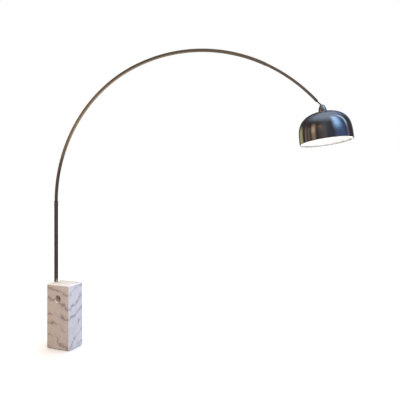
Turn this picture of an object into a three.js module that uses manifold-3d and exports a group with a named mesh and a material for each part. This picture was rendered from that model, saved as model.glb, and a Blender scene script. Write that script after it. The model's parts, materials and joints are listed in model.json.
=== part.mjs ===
import * as THREE from 'three';
import { mergeVertices } from 'three/addons/utils/BufferGeometryUtils.js';
import Module from 'manifold-3d';

// Arc floor lamp, in millimetres: a stone foot, a square telescopic mast that sweeps over in an arc,
// and a spun metal shade that hangs on a knuckle at its end.
// The origin is the middle of the underside, on the floor. +X points from the foot towards the
// shade, and +Z is up. The mast lies in the plane Y = 0.

// ---- Driving sizes ----

const GAP = 0.3; // left between pieces that touch
const DEG = Math.PI / 180;

// Stone foot
const BASE_LENGTH = 240;
const BASE_DEPTH = 180;
const BASE_HEIGHT = 550;
const BASE_CHAMFER = 8;
const PAD_THICKNESS = 2;
const PAD_MARGIN = BASE_CHAMFER + 3;
const LIFT_HOLE_RADIUS = 29;
const LIFT_HOLE_DROP = 123; // its axis, below the top face
const LIFT_HOLE_CHAMFER = 4;
const STEM_INSET = 25; // stem axis, from the back face
const SOCKET_DEPTH = 120;
const RECESS_RADIUS = 22; // for the nut, in the underside
const RECESS_DEPTH = 30;
const TIE_ROD_RADIUS = 6;
const TIE_ROD_SPARE = 4; // below its nut
const TIE_NUT_FLATS = 18;
const TIE_NUT_HEIGHT = 10;
const TIE_WASHER_RADIUS = 18;
const TIE_WASHER_HEIGHT = 3;
const FOOT_PLUG_HEIGHT = 40;

// Mast
const STEM_WIDTH = 25;
const STEM_WALL = 2;
const STEM_TOP = 1262;
const ARC_START = 1257; // height where the straight line turns into the arc
const TAIL_LENGTH = 160; // straight end of the arc, inside the stem
const REAR_RADIUS = 1140;
const FRONT_RADIUS = 1320;
const REAR_SWEEP = 72; // degrees from the vertical where the wider arc begins
const ARC_WALL = 1.1;
const END_WALL = 1.2;
const SLIDE_CLEARANCE = 0.3; // each side, between a tube and the one inside it
const TUBE_CHAMFER = 1.6;
const COUPLING_AT = 29; // degrees from the vertical
const COUPLING_LENGTH = 80;
const COUPLING_WALL = 1.5;
const OUTER_TUBE_ENDS_AT = 120;
const END_TUBE_STARTS_AT = 106;
const END_TUBE_ENDS_AT = 139.7;
const SEGMENT_LENGTH = 36; // of the curved tubes

// Screws with round heads
const SCREW_RADIUS = 2.5;
const SCREW_HEAD_RADIUS = 4.5;
const SCREW_HEAD_HEIGHT = 2.6;
const SCREW_SOCKET_RADIUS = 1.6;
const SCREW_SOCKET_DEPTH = 1.4;
const STEM_SCREW_DROPS = [30, 120]; // below the stem's top
const COUPLING_SCREW_OFFSET = 22; // along the arc, either side of the seam
const EXTENSION_SCREW_OFFSET = 45; // back from the outer tube's end

// Wiring
const SUPPLY_CABLE_RADIUS = 3;
const SUPPLY_CABLE_ENDS_AT = 93;
const HEAD_CABLE_RADIUS = 2.5;
const HEAD_CABLE_SIDE = -3.5; // off the mast's centre line, along Y
const INLET_BEND = 40; // height over which the cable turns up into the stem
const HEAD_CABLE_BEND = 60; // length over which it comes to the middle of the tube
const GROMMET_RISE = 36; // above the stone
const GROMMET_HOLE_RADIUS = 6;
const GROMMET_FLANGE_RADIUS = 9;
const GROMMET_FLANGE_HEIGHT = 2.4;
const GROMMET_LIP = 1.5; // behind the stem's wall

// End of the mast
const PLUG_FLANGE = 3;
const PLUG_SPIGOT = 14;
const ROD_RADIUS = 4.5;
const ROD_BORE_RADIUS = 3;
const ROD_COLLAR_RADIUS = 6.6;
const ROD_COLLAR_HEIGHT = 3;
const ROD_NUT_HEIGHT = 6;
const ROD_REACH = 51.6; // end of the tube to the knuckle
const ROD_LEAN = 43.9; // degrees from the vertical

// Knuckle
const EYE_RADIUS = 6.4;
const EYE_THICKNESS = 9.6;
const WASHER_THICKNESS = 0.8;
const CHEEK_THICKNESS = 2.5;
const KNUCKLE_FLANGE_RADIUS = 16.5;
const KNUCKLE_FLANGE_TOP = 9; // below the pivot
const KNUCKLE_FLANGE_HEIGHT = 3;
const NIPPLE_RADIUS = 5;
const NIPPLE_LENGTH = 20;
const NIPPLE_NUT_FLATS = 14;
const NIPPLE_NUT_HEIGHT = 5;
const KNUCKLE_NUT_FLATS = 8;
const KNUCKLE_NUT_HEIGHT = 3;

// Shade
const HEAD_TILT = 6.72; // degrees, the top leaning back towards the foot
const PIVOT_HEIGHT = 247; // above the plane of the rim
const SHADE_RADIUS = 173.7;
const SHADE_HEIGHT = 203;
const SHADE_SIDE_POWER = 2.21; // of the rounded outline
const SHADE_TOP_POWER = 3.72;
const SHADE_WALL = 1.2;
const CAP_EDGE_RADIUS = 112;
const CAP_SKIRT = 13; // of the cap, under the bowl
const SEAT_THICKNESS = 0.8;
const SHADE_SEGMENTS = 36;
const CROWN_RADIUS = 27; // flat middle of the cap
const PERFORATION_RADIUS = 5;
const PERFORATION_ROWS = [44, 61, 78, 95];
const PERFORATIONS_PER_ROW = 18;
const PERFORATION_SIDES = 6;
const RIM_BEAD = 2;

// Lampholder, bell and bulb
const BELL_RADIUS = 26.5;
const BELL_MOUTH_RADIUS = 14;
const BELL_MOUTH_RISE = 3; // above the pivot
const BELL_WALL = 1.2;
const BELL_CURVE = [[6.6, 8.5], [3, 18], [0.9, 25], [0, 32]]; // in from BELL_RADIUS, down from the pivot
const HOLDER_RADIUS = 19.5;
const HOLDER_FLANGE_RADIUS = 24;
const HOLDER_FLANGE_HEIGHT = 2.5;
const HOLDER_LENGTH = 50; // below the shade's crown
const HOLDER_CAP_RADIUS = 17.5;
const HOLDER_CAP_WALL = 2.5;
const HOLDER_CAP_ROOF = 3.2;
const HOLDER_BORE_RADIUS = 14.9;
const HOLDER_WEB_DROP = 10; // below the shade's crown
const HOLDER_WEB = 4;
const CONTACT_RADIUS = 3.6;
const SHELL_WALL = 0.6;
const SHADE_RING_RADIUS = 26;
const SHADE_RING_HEIGHT = 6;
const BULB_RADIUS = 30;
const BULB_NECK_RADIUS = 12.4;
const BULB_LENGTH = 92; // of the glass
const BULB_WALL = 1;
const BULB_CAP_LENGTH = 26;
const BULB_CAP_WALL = 0.5;
const BULB_TIP_RADIUS = 4;
const BULB_TIP_HEIGHT = 3;
const BULB_SEAT = 8; // of the glass inside its cap
const SMALL_SEGMENTS = 24;

// ---- Values worked out from the driving sizes ----

const BASE_BOTTOM = PAD_THICKNESS + GAP;
const BASE_TOP = BASE_BOTTOM + BASE_HEIGHT;
const STEM_X = STEM_INSET - BASE_LENGTH / 2;
const LIFT_HOLE_Z = BASE_TOP - LIFT_HOLE_DROP;
const SOCKET_BOTTOM = BASE_TOP - SOCKET_DEPTH;
const RECESS_TOP = BASE_BOTTOM + RECESS_DEPTH;
const STEM_BORE = STEM_WIDTH - 2 * STEM_WALL;
const ARC_WIDTH = STEM_BORE - 2 * SLIDE_CLEARANCE;
const ARC_BORE = ARC_WIDTH - 2 * ARC_WALL;
const END_WIDTH = ARC_BORE - 2 * SLIDE_CLEARANCE;
const END_BORE = END_WIDTH - 2 * END_WALL;
const ROD_NUT_FLATS = Math.round((END_BORE - 4 * GAP) * Math.sqrt(0.75)); // fits across its corners
const COUPLING_WIDTH = ARC_BORE - 2 * SLIDE_CLEARANCE;
const COUPLING_BORE = COUPLING_WIDTH - 2 * COUPLING_WALL;
const SUPPLY_CABLE_SIDE = COUPLING_BORE / 2 - SUPPLY_CABLE_RADIUS - GAP; // off the centre line
const REAR_LENGTH = REAR_RADIUS * REAR_SWEEP * DEG;
const PIVOT_CLEAR = GAP + WASHER_THICKNESS + GAP; // eye to cheek
const CHEEK_INSIDE = EYE_THICKNESS / 2 + PIVOT_CLEAR;
const CHEEK_OUTSIDE = CHEEK_INSIDE + CHEEK_THICKNESS;
const CROWN_Z = shadeHeightAt(CROWN_RADIUS) - PIVOT_HEIGHT; // top of the cap, from the pivot

// ---- Centre line of the mast ----

// Length along the arc, from its start, where the mast leans by an angle from the vertical.
function lengthAt(angle) {
  if (angle <= REAR_SWEEP) return REAR_RADIUS * angle * DEG;
  return REAR_LENGTH + FRONT_RADIUS * (angle - REAR_SWEEP) * DEG;
}

function leanAt(length) {
  if (length <= 0) return 0;
  if (length <= REAR_LENGTH) return length / REAR_RADIUS;
  return REAR_SWEEP * DEG + (length - REAR_LENGTH) / FRONT_RADIUS;
}

function mastPoint(length, side = 0) {
  if (length <= 0) return new THREE.Vector3(STEM_X, side, ARC_START + length);
  const lean = leanAt(length);
  const turn = Math.min(lean, REAR_SWEEP * DEG);
  let x = STEM_X + REAR_RADIUS * (1 - Math.cos(turn));
  let z = ARC_START + REAR_RADIUS * Math.sin(turn);
  if (lean > turn) {
    x += FRONT_RADIUS * (Math.cos(turn) - Math.cos(lean));
    z += FRONT_RADIUS * (Math.sin(lean) - Math.sin(turn));
  }
  return new THREE.Vector3(x, side, z);
}

function mastDirection(length) {
  const lean = leanAt(length);
  return new THREE.Vector3(Math.sin(lean), 0, Math.cos(lean));
}

class MastCurve extends THREE.Curve {
  constructor(from, to, side = 0) {
    super();
    this.from = from;
    this.to = to;
    this.side = side;
  }

  getPoint(t, target = new THREE.Vector3()) {
    return target.copy(mastPoint(THREE.MathUtils.lerp(this.from, this.to, t), this.side));
  }
}

// ---- Solids ----

const wasm = await Module();
wasm.setup();

// A closed geometry with shared vertices, no empty triangles and its faces pointing out.
function closed(source) {
  const bare = source.clone();
  bare.deleteAttribute('normal');
  bare.deleteAttribute('uv');
  const merged = mergeVertices(bare, 1e-4);
  const place = merged.getAttribute('position');
  const corner = [new THREE.Vector3(), new THREE.Vector3(), new THREE.Vector3()];
  const kept = [];
  let volume = 0;
  for (let i = 0; i < merged.index.count; i += 3) {
    const [a, b, c] = [0, 1, 2].map((k) => merged.index.getX(i + k));
    if (a === b || b === c || c === a) continue;
    kept.push([a, b, c]);
    corner[0].fromBufferAttribute(place, a);
    corner[1].fromBufferAttribute(place, b);
    corner[2].fromBufferAttribute(place, c);
    volume += corner[0].dot(corner[1].cross(corner[2])) / 6;
  }
  if (volume < 0) kept.forEach((triangle) => triangle.reverse());
  merged.setIndex(kept.flat());
  return merged;
}

function toManifold(geometry) {
  const shape = closed(geometry);
  return new wasm.Manifold(new wasm.Mesh({
    numProp: 3,
    vertProperties: new Float32Array(shape.getAttribute('position').array),
    triVerts: new Uint32Array(shape.index.array),
  }));
}

function fromManifold(manifold) {
  const mesh = manifold.getMesh();
  const geometry = new THREE.BufferGeometry();
  geometry.setAttribute('position', new THREE.BufferAttribute(new Float32Array(mesh.vertProperties), 3));
  geometry.setIndex(Array.from(mesh.triVerts));
  return geometry;
}

function joined(...geometries) {
  return fromManifold(geometries.map(toManifold).reduce((sum, next) => sum.add(next)));
}

function cut(geometry, ...tools) {
  const tool = tools.map(toManifold).reduce((sum, next) => sum.add(next));
  return fromManifold(toManifold(geometry).subtract(tool));
}

// A solid turned about Z from [radius, height] points. Its outline closes on itself when it stays
// off the axis.
function turned(points, segments = SMALL_SEGMENTS) {
  const outline = points.map(([r, z]) => new THREE.Vector2(r, z));
  const first = points[0];
  const last = points[points.length - 1];
  if (first[0] > 0 || last[0] > 0) outline.push(outline[0].clone());
  return closed(new THREE.LatheGeometry(outline, segments).rotateX(Math.PI / 2));
}

function rod(radius, from, to, segments = SMALL_SEGMENTS) {
  return turned([[0, from], [radius, from], [radius, to], [0, to]], segments);
}

function ring(inner, outer, from, to, segments = SMALL_SEGMENTS) {
  return turned([[inner, from], [outer, from], [outer, to], [inner, to]], segments);
}

// An outline that runs down the outside of a shell, moved in by the shell's wall.
function inset(outline, wall) {
  return outline.map(([r, z], i) => {
    const before = outline[Math.max(i - 1, 0)];
    const after = outline[Math.min(i + 1, outline.length - 1)];
    const [dr, dz] = [after[0] - before[0], after[1] - before[1]];
    const size = Math.hypot(dr, dz);
    return [r === 0 ? 0 : Math.max(r + (wall * dz) / size, 0), z - (wall * dr) / size];
  });
}

function walled(outline, wall) {
  return [...outline, ...inset(outline, wall).reverse()];
}

function squareShape(width, bore = 0) {
  const h = width / 2;
  const c = TUBE_CHAMFER;
  const shape = new THREE.Shape([
    [h - c, -h], [h, c - h], [h, h - c], [h - c, h], [c - h, h], [-h, h - c], [-h, c - h], [c - h, -h],
  ].map(([x, y]) => new THREE.Vector2(x, y)));
  if (bore > 0) shape.holes.push(squarePath(bore));
  return shape;
}

function squarePath(width) {
  const h = width / 2;
  return new THREE.Path([[-h, -h], [-h, h], [h, h], [h, -h]].map(([x, y]) => new THREE.Vector2(x, y)));
}

function circleShape(radius, sides) {
  const turn = (i) => (2 * Math.PI * i) / sides;
  const points = Array.from({ length: sides }, (_, i) => (
    new THREE.Vector2(radius * Math.cos(turn(i)), radius * Math.sin(turn(i)))
  ));
  return new THREE.Shape(points);
}

// A shape in X and Y, drawn up from one height to another.
function prism(shape, from, to) {
  const drawn = new THREE.ExtrudeGeometry(shape, { depth: to - from, bevelEnabled: false });
  return closed(drawn.translate(0, 0, from));
}

function nut(flats, bore, from, to) {
  const shape = circleShape(flats / Math.sqrt(3), 6);
  shape.holes.push(circleShape(bore, 16));
  return prism(shape, from, to);
}

function swept(shape, path, steps) {
  return closed(new THREE.ExtrudeGeometry(shape, { extrudePath: path, steps, bevelEnabled: false }));
}

function mastTube(width, bore, from, to) {
  const steps = Math.ceil((to - from) / SEGMENT_LENGTH);
  return swept(squareShape(width, bore), new MastCurve(from, to), steps);
}

// Turns and moves a solid made along +Z so that it points along a direction from a place.
function aimed(geometry, place, direction) {
  const turn = new THREE.Quaternion().setFromUnitVectors(new THREE.Vector3(0, 0, 1), direction);
  return geometry.clone().applyQuaternion(turn).translate(place.x, place.y, place.z);
}

// ---- Scene graph ----

function finish(color, roughness, metalness) {
  return new THREE.MeshStandardMaterial({ color, roughness, metalness });
}

const marble = finish(0xe9e7e4, 0.22, 0);
const brushedSteel = finish(0x5c554c, 0.32, 1);
const darkSteel = finish(0x3a3733, 0.4, 1);
const zincSteel = finish(0xa6a8a8, 0.45, 1);
const chrome = finish(0xb9bbbf, 0.08, 1);
const nickel = finish(0x5f5d5e, 0.16, 1);
const rubber = finish(0x1b1b1c, 0.8, 0);
const felt = finish(0x2b2a2a, 0.95, 0);
const nylon = finish(0xe4e0d6, 0.5, 0);
const porcelain = finish(0xeeece6, 0.3, 0);
const brass = finish(0xc4a55a, 0.3, 1);
const opalGlass = finish(0xf7f4ec, 0.15, 0);

const lamp = new THREE.Group();

function add(name, geometry, material, parent = lamp) {
  const mesh = new THREE.Mesh(geometry, material);
  mesh.geometry.computeVertexNormals();
  mesh.name = name;
  parent.add(mesh);
  return mesh;
}

// ---- Stone foot ----

function stoneBlock() {
  const x = BASE_LENGTH / 2 - BASE_CHAMFER;
  const y = BASE_DEPTH / 2 - BASE_CHAMFER;
  const c = BASE_CHAMFER;
  const outline = new THREE.Shape([
    [x - c, -y], [x, c - y], [x, y - c], [x - c, y], [c - x, y], [-x, y - c], [-x, c - y], [c - x, -y],
  ].map(([px, py]) => new THREE.Vector2(px, py)));
  const body = new THREE.ExtrudeGeometry(outline, {
    depth: BASE_HEIGHT - 2 * BASE_CHAMFER,
    bevelThickness: BASE_CHAMFER,
    bevelSize: BASE_CHAMFER,
    bevelSegments: 1,
  });
  return body.translate(0, 0, BASE_BOTTOM + BASE_CHAMFER);
}

function liftHole() {
  const mouth = LIFT_HOLE_RADIUS + LIFT_HOLE_CHAMFER + 1;
  const end = BASE_DEPTH / 2 + 1;
  const waist = end - LIFT_HOLE_CHAMFER - 1;
  const profile = [
    [0, -end], [mouth, -end], [LIFT_HOLE_RADIUS, -waist], [LIFT_HOLE_RADIUS, waist], [mouth, end], [0, end],
  ];
  return turned(profile, 32).rotateX(Math.PI / 2).translate(0, 0, LIFT_HOLE_Z);
}

function buildFoot() {
  const socket = STEM_WIDTH + 2 * GAP;
  const stone = cut(
    stoneBlock(),
    liftHole(),
    prism(squareShape(socket), SOCKET_BOTTOM, BASE_TOP + 1).translate(STEM_X, 0, 0),
    rod(TIE_ROD_RADIUS + GAP, RECESS_TOP - 1, SOCKET_BOTTOM + 1).translate(STEM_X, 0, 0),
    rod(RECESS_RADIUS, BASE_BOTTOM - 1, RECESS_TOP).translate(STEM_X, 0, 0),
  );
  add('marble_base', stone, marble);

  const [padLength, padDepth] = [BASE_LENGTH - 2 * PAD_MARGIN, BASE_DEPTH - 2 * PAD_MARGIN];
  const sheet = new THREE.BoxGeometry(padLength, padDepth, PAD_THICKNESS);
  const access = rod(RECESS_RADIUS, -1, PAD_THICKNESS + 1).translate(STEM_X, 0, 0);
  add('floor_pad', cut(sheet.translate(0, 0, PAD_THICKNESS / 2), access), felt);

  const plugWidth = STEM_BORE - 2 * GAP;
  const plugBottom = SOCKET_BOTTOM + GAP;
  const threaded = TIE_ROD_RADIUS + GAP;
  const plug = cut(
    prism(squareShape(plugWidth), plugBottom, plugBottom + FOOT_PLUG_HEIGHT),
    rod(threaded, plugBottom - 1, plugBottom + FOOT_PLUG_HEIGHT + 1),
  );
  add('stem_foot_plug', plug, zincSteel).position.x = STEM_X;

  const washerTop = RECESS_TOP - GAP;
  const nutTop = washerTop - TIE_WASHER_HEIGHT - GAP;
  const washer = ring(threaded, TIE_WASHER_RADIUS, washerTop - TIE_WASHER_HEIGHT, washerTop);
  add('tie_rod_washer', washer, zincSteel).position.x = STEM_X;
  const nutBottom = nutTop - TIE_NUT_HEIGHT;
  add('tie_rod_nut', nut(TIE_NUT_FLATS, threaded, nutBottom, nutTop), zincSteel).position.x = STEM_X;
  const tieRod = rod(TIE_ROD_RADIUS, nutBottom - TIE_ROD_SPARE, plugBottom + FOOT_PLUG_HEIGHT);
  add('tie_rod', tieRod, zincSteel).position.x = STEM_X;
}

// ---- Mast ----

// A round-headed screw along +Z: its head stands on Z = 0 and its shank hangs below.
function screw(shank) {
  const top = GAP + SCREW_HEAD_HEIGHT;
  const socketFloor = top - SCREW_SOCKET_DEPTH;
  const profile = [
    [0, -shank], [SCREW_RADIUS, -shank], [SCREW_RADIUS, GAP], [SCREW_HEAD_RADIUS, GAP],
    [SCREW_HEAD_RADIUS, top - 1.4], [SCREW_HEAD_RADIUS - 1.2, top - 0.3], [SCREW_SOCKET_RADIUS + 0.6, top],
    [SCREW_SOCKET_RADIUS, top], [SCREW_SOCKET_RADIUS, socketFloor], [0, socketFloor],
  ];
  return turned(profile, 12);
}

const SCREW_HOLE_RADIUS = SCREW_RADIUS + GAP;

function screwHole(place, direction, depth) {
  return aimed(rod(SCREW_HOLE_RADIUS, -depth, 2, 16), place, direction);
}

// A point on the mast's face, and the way that face looks: outwards from the arc, or inwards.
function mastFace(length, width, outwards = true) {
  const along = mastDirection(length);
  const face = new THREE.Vector3(-along.z, 0, along.x).multiplyScalar(outwards ? 1 : -1);
  return { place: mastPoint(length).addScaledVector(face, width / 2), face };
}

function buildStem() {
  const bottom = SOCKET_BOTTOM + GAP;
  const tube = mastTube(STEM_WIDTH, STEM_BORE, bottom - ARC_START, STEM_TOP - ARC_START);
  const screws = STEM_SCREW_DROPS.map((drop) => mastFace(STEM_TOP - drop - ARC_START, STEM_WIDTH));
  const inlet = mastFace(BASE_TOP + GROMMET_RISE - ARC_START, STEM_WIDTH);
  const holes = screws.map(({ place, face }) => screwHole(place, face, STEM_WALL + 1));
  holes.push(aimed(rod(GROMMET_HOLE_RADIUS, -STEM_WALL - 1, 2), inlet.place, inlet.face));
  add('stem_tube', cut(tube, ...holes), brushedSteel);
  screws.forEach(({ place, face }, i) => {
    add(`stem_screw_${i + 1}`, aimed(screw(STEM_WALL), place, face), darkSteel);
  });

  const neck = GROMMET_HOLE_RADIUS - GAP;
  const hole = SUPPLY_CABLE_RADIUS + GAP;
  const back = -STEM_WALL - GAP;
  const grommet = turned([
    [hole, back - GROMMET_LIP], [neck + GROMMET_LIP, back - GROMMET_LIP], [neck + GROMMET_LIP, back],
    [neck, back], [neck, GAP],
    [GROMMET_FLANGE_RADIUS, GAP], [GROMMET_FLANGE_RADIUS - 0.8, GROMMET_FLANGE_HEIGHT],
    [hole + 0.8, GROMMET_FLANGE_HEIGHT], [hole, GROMMET_FLANGE_HEIGHT - 0.8],
  ]);
  add('cable_grommet', aimed(grommet, inlet.place, inlet.face), rubber);
}

function buildArc() {
  const seam = lengthAt(COUPLING_AT);
  const outerEnd = lengthAt(OUTER_TUBE_ENDS_AT);
  const seamScrews = [-1, 1].map((side) => mastFace(seam + side * COUPLING_SCREW_OFFSET, ARC_WIDTH));
  const deep = ARC_WALL + SLIDE_CLEARANCE + COUPLING_WALL;
  const holes = seamScrews.map(({ place, face }) => screwHole(place, face, deep + 1));
  const lock = mastFace(outerEnd - EXTENSION_SCREW_OFFSET, ARC_WIDTH, false);

  const lower = mastTube(ARC_WIDTH, ARC_BORE, -TAIL_LENGTH, seam - GAP / 2);
  add('arc_lower_tube', cut(lower, holes[0]), brushedSteel);
  const upper = mastTube(ARC_WIDTH, ARC_BORE, seam + GAP / 2, outerEnd);
  add('arc_upper_tube', cut(upper, holes[1], screwHole(lock.place, lock.face, ARC_WALL + 1)), brushedSteel);

  const sleeve = mastTube(
    COUPLING_WIDTH,
    COUPLING_BORE,
    seam - COUPLING_LENGTH / 2,
    seam + COUPLING_LENGTH / 2,
  );
  add('arc_coupling', cut(sleeve, ...holes), zincSteel);
  ['lower', 'upper'].forEach((name, i) => {
    add(`coupling_screw_${name}`, aimed(screw(deep), seamScrews[i].place, seamScrews[i].face), chrome);
  });
  add('extension_screw', aimed(screw(ARC_WALL), lock.place, lock.face), chrome);
}

function buildWiring() {
  const inletZ = BASE_TOP + GROMMET_RISE;
  const bent = inletZ + INLET_BEND - ARC_START;
  const inside = new THREE.Vector3(STEM_X - STEM_BORE / 2 + 4.5, 0, inletZ);
  const bend = new THREE.QuadraticBezierCurve3(
    inside,
    new THREE.Vector3(STEM_X + 2, SUPPLY_CABLE_SIDE / 2, inletZ + 4),
    mastPoint(bent, SUPPLY_CABLE_SIDE),
  );
  const supply = new THREE.CurvePath();
  supply.add(bend);
  supply.add(new MastCurve(bent, lengthAt(SUPPLY_CABLE_ENDS_AT), SUPPLY_CABLE_SIDE));
  add('supply_cable', swept(circleShape(SUPPLY_CABLE_RADIUS, 8), supply, 56), rubber);

  const rodMouth = lengthAt(END_TUBE_ENDS_AT) - PLUG_SPIGOT - ROD_NUT_HEIGHT - 6;
  const leaves = rodMouth - HEAD_CABLE_BEND;
  const end = mastPoint(lengthAt(END_TUBE_ENDS_AT));
  const along = mastDirection(lengthAt(END_TUBE_ENDS_AT));
  const mouth = end.clone().addScaledVector(along, rodMouth - lengthAt(END_TUBE_ENDS_AT));
  const head = new THREE.CurvePath();
  head.add(new MastCurve(lengthAt(SUPPLY_CABLE_ENDS_AT), leaves, HEAD_CABLE_SIDE));
  head.add(new THREE.CubicBezierCurve3(
    mastPoint(leaves, HEAD_CABLE_SIDE),
    mastPoint(leaves, HEAD_CABLE_SIDE).addScaledVector(mastDirection(leaves), HEAD_CABLE_BEND / 3),
    mouth.clone().addScaledVector(along, -HEAD_CABLE_BEND / 3),
    mouth,
  ));
  head.add(new THREE.LineCurve3(mouth, end));
  add('head_cable', swept(circleShape(HEAD_CABLE_RADIUS, 8), head, 40), rubber);
}

// ---- Sliding end of the mast ----

function pivotPoint() {
  const lean = ROD_LEAN * DEG;
  return mastPoint(lengthAt(END_TUBE_ENDS_AT)).add(
    new THREE.Vector3(Math.sin(lean), 0, -Math.cos(lean)).multiplyScalar(ROD_REACH),
  );
}

function buildMastEnd() {
  const from = lengthAt(END_TUBE_STARTS_AT);
  const to = lengthAt(END_TUBE_ENDS_AT);
  add('arc_end_tube', mastTube(END_WIDTH, END_BORE, from, to), brushedSteel);

  const spigot = END_BORE - 2 * SLIDE_CLEARANCE;
  const slider = cut(
    joined(prism(squareShape(END_WIDTH), -PLUG_FLANGE - GAP, -GAP), prism(squareShape(spigot), -1, 10)),
    rod(HEAD_CABLE_RADIUS + GAP, -PLUG_FLANGE - 1, 11, 16).translate(0, HEAD_CABLE_SIDE, 0),
  );
  add('end_tube_slider', aimed(slider, mastPoint(from), mastDirection(from)), nylon);

  const end = mastPoint(to);
  const along = mastDirection(to);
  const flangeTop = GAP + PLUG_FLANGE;
  const plug = cut(
    joined(prism(squareShape(END_WIDTH), GAP, flangeTop), prism(squareShape(spigot), -PLUG_SPIGOT, GAP + 1)),
    rod(ROD_RADIUS + GAP, -PLUG_SPIGOT - 1, flangeTop + 1),
  );
  add('mast_end_plug', aimed(plug, end, along), darkSteel);
  const nutTop = -PLUG_SPIGOT - GAP;
  const rodNut = nut(ROD_NUT_FLATS, ROD_RADIUS + GAP, nutTop - ROD_NUT_HEIGHT, nutTop);
  add('pivot_rod_nut', aimed(rodNut, end, along), zincSteel);
  add('pivot_rod', pivotRod(end, along, flangeTop), darkSteel);
}

// A bent tube with a collar against the plug and a flat eye at its far end.
function pivotRod(end, along, flangeTop) {
  const pivot = pivotPoint();
  const start = end.clone().addScaledVector(along, -PLUG_SPIGOT - ROD_NUT_HEIGHT - 4);
  const turnAt = end.clone().addScaledVector(along, flangeTop + ROD_COLLAR_HEIGHT);
  const knee = end.clone().addScaledVector(along, ROD_REACH * 0.45);
  const away = pivot.clone().sub(knee).normalize();
  const path = new THREE.CurvePath();
  path.add(new THREE.LineCurve3(start, turnAt));
  const inEye = pivot.clone().addScaledVector(away, -EYE_RADIUS * 0.6);
  path.add(new THREE.QuadraticBezierCurve3(turnAt, knee, inEye));
  const section = circleShape(ROD_RADIUS, 12);
  section.holes.push(circleShape(ROD_BORE_RADIUS, 12));
  const collarTop = flangeTop + ROD_COLLAR_HEIGHT;
  const collar = ring(ROD_BORE_RADIUS + 0.5, ROD_COLLAR_RADIUS, flangeTop + GAP, collarTop);
  const eye = rod(EYE_RADIUS, -EYE_THICKNESS / 2, EYE_THICKNESS / 2).rotateX(Math.PI / 2);
  const hole = rod(SCREW_HOLE_RADIUS, -EYE_THICKNESS, EYE_THICKNESS, 16).rotateX(Math.PI / 2);
  const tube = joined(
    swept(section, path, 9),
    aimed(collar, end, along),
    eye.translate(pivot.x, 0, pivot.z),
  );
  return cut(tube, hole.translate(pivot.x, 0, pivot.z));
}

// ---- Knuckle and head, built about the pivot with the shade's axis upright ----

function headGroup() {
  const group = new THREE.Group();
  group.position.copy(pivotPoint());
  group.rotation.y = -HEAD_TILT * DEG;
  lamp.add(group);
  return group;
}

function buildKnuckle(head) {
  const flangeBottom = -KNUCKLE_FLANGE_TOP - KNUCKLE_FLANGE_HEIGHT;
  const cheek = new THREE.Shape();
  cheek.moveTo(-EYE_RADIUS, -KNUCKLE_FLANGE_TOP - 1);
  cheek.lineTo(EYE_RADIUS, -KNUCKLE_FLANGE_TOP - 1);
  cheek.lineTo(EYE_RADIUS, 0);
  cheek.absarc(0, 0, EYE_RADIUS, 0, Math.PI, false);
  const cheeks = [CHEEK_INSIDE, -CHEEK_OUTSIDE].map((y) => closed(
    new THREE.ExtrudeGeometry(cheek, { depth: CHEEK_THICKNESS, bevelEnabled: false, curveSegments: 10 })
      .rotateX(Math.PI / 2)
      .translate(0, y + CHEEK_THICKNESS, 0),
  ));
  const hole = rod(SCREW_HOLE_RADIUS, -CHEEK_OUTSIDE - 1, CHEEK_OUTSIDE + 1, 16).rotateX(Math.PI / 2);
  const fork = cut(
    joined(
      rod(KNUCKLE_FLANGE_RADIUS, flangeBottom, -KNUCKLE_FLANGE_TOP),
      rod(NIPPLE_RADIUS, flangeBottom - NIPPLE_LENGTH, flangeBottom + 1),
      ...cheeks,
    ),
    hole,
    rod(ROD_BORE_RADIUS, flangeBottom - NIPPLE_LENGTH - 1, -KNUCKLE_FLANGE_TOP + 1, 16),
  );
  add('knuckle_fork', fork, darkSteel, head);

  const washerMiddle = EYE_THICKNESS / 2 + GAP + WASHER_THICKNESS / 2;
  [['near', -1], ['far', 1]].forEach(([name, side]) => {
    const washer = ring(SCREW_HOLE_RADIUS, EYE_RADIUS, -WASHER_THICKNESS / 2, WASHER_THICKNESS / 2);
    washer.rotateX(Math.PI / 2).translate(0, side * washerMiddle, 0);
    add(`knuckle_washer_${name}`, washer, nylon, head);
  });
  const pin = screw(2 * CHEEK_OUTSIDE + KNUCKLE_NUT_HEIGHT).rotateX(Math.PI / 2);
  add('knuckle_screw', pin.translate(0, -CHEEK_OUTSIDE, 0), chrome, head);
  const nutFoot = CHEEK_OUTSIDE + GAP;
  const lockNut = nut(KNUCKLE_NUT_FLATS, SCREW_HOLE_RADIUS, nutFoot, nutFoot + KNUCKLE_NUT_HEIGHT);
  add('knuckle_nut', lockNut.rotateX(-Math.PI / 2), chrome, head);
}

// Outer height of the shade over its rim, at a radius.
function shadeHeightAt(radius) {
  return SHADE_HEIGHT * (1 - (radius / SHADE_RADIUS) ** SHADE_SIDE_POWER) ** (1 / SHADE_TOP_POWER);
}

// Points of the shade's outline between two angles round it, 90 at the top and 0 at the rim.
function shadeOutline(fromRadius, toAngle, steps) {
  const fromAngle = Math.acos((fromRadius / SHADE_RADIUS) ** (SHADE_SIDE_POWER / 2));
  return Array.from({ length: steps + 1 }, (_, i) => {
    const angle = THREE.MathUtils.lerp(fromAngle, toAngle, i / steps);
    const r = SHADE_RADIUS * Math.cos(angle) ** (2 / SHADE_SIDE_POWER);
    const z = SHADE_HEIGHT * Math.sin(angle) ** (2 / SHADE_TOP_POWER);
    return [r, z - PIVOT_HEIGHT];
  });
}

function shadePoint(radius) {
  return [radius, shadeHeightAt(radius) - PIVOT_HEIGHT];
}

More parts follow.
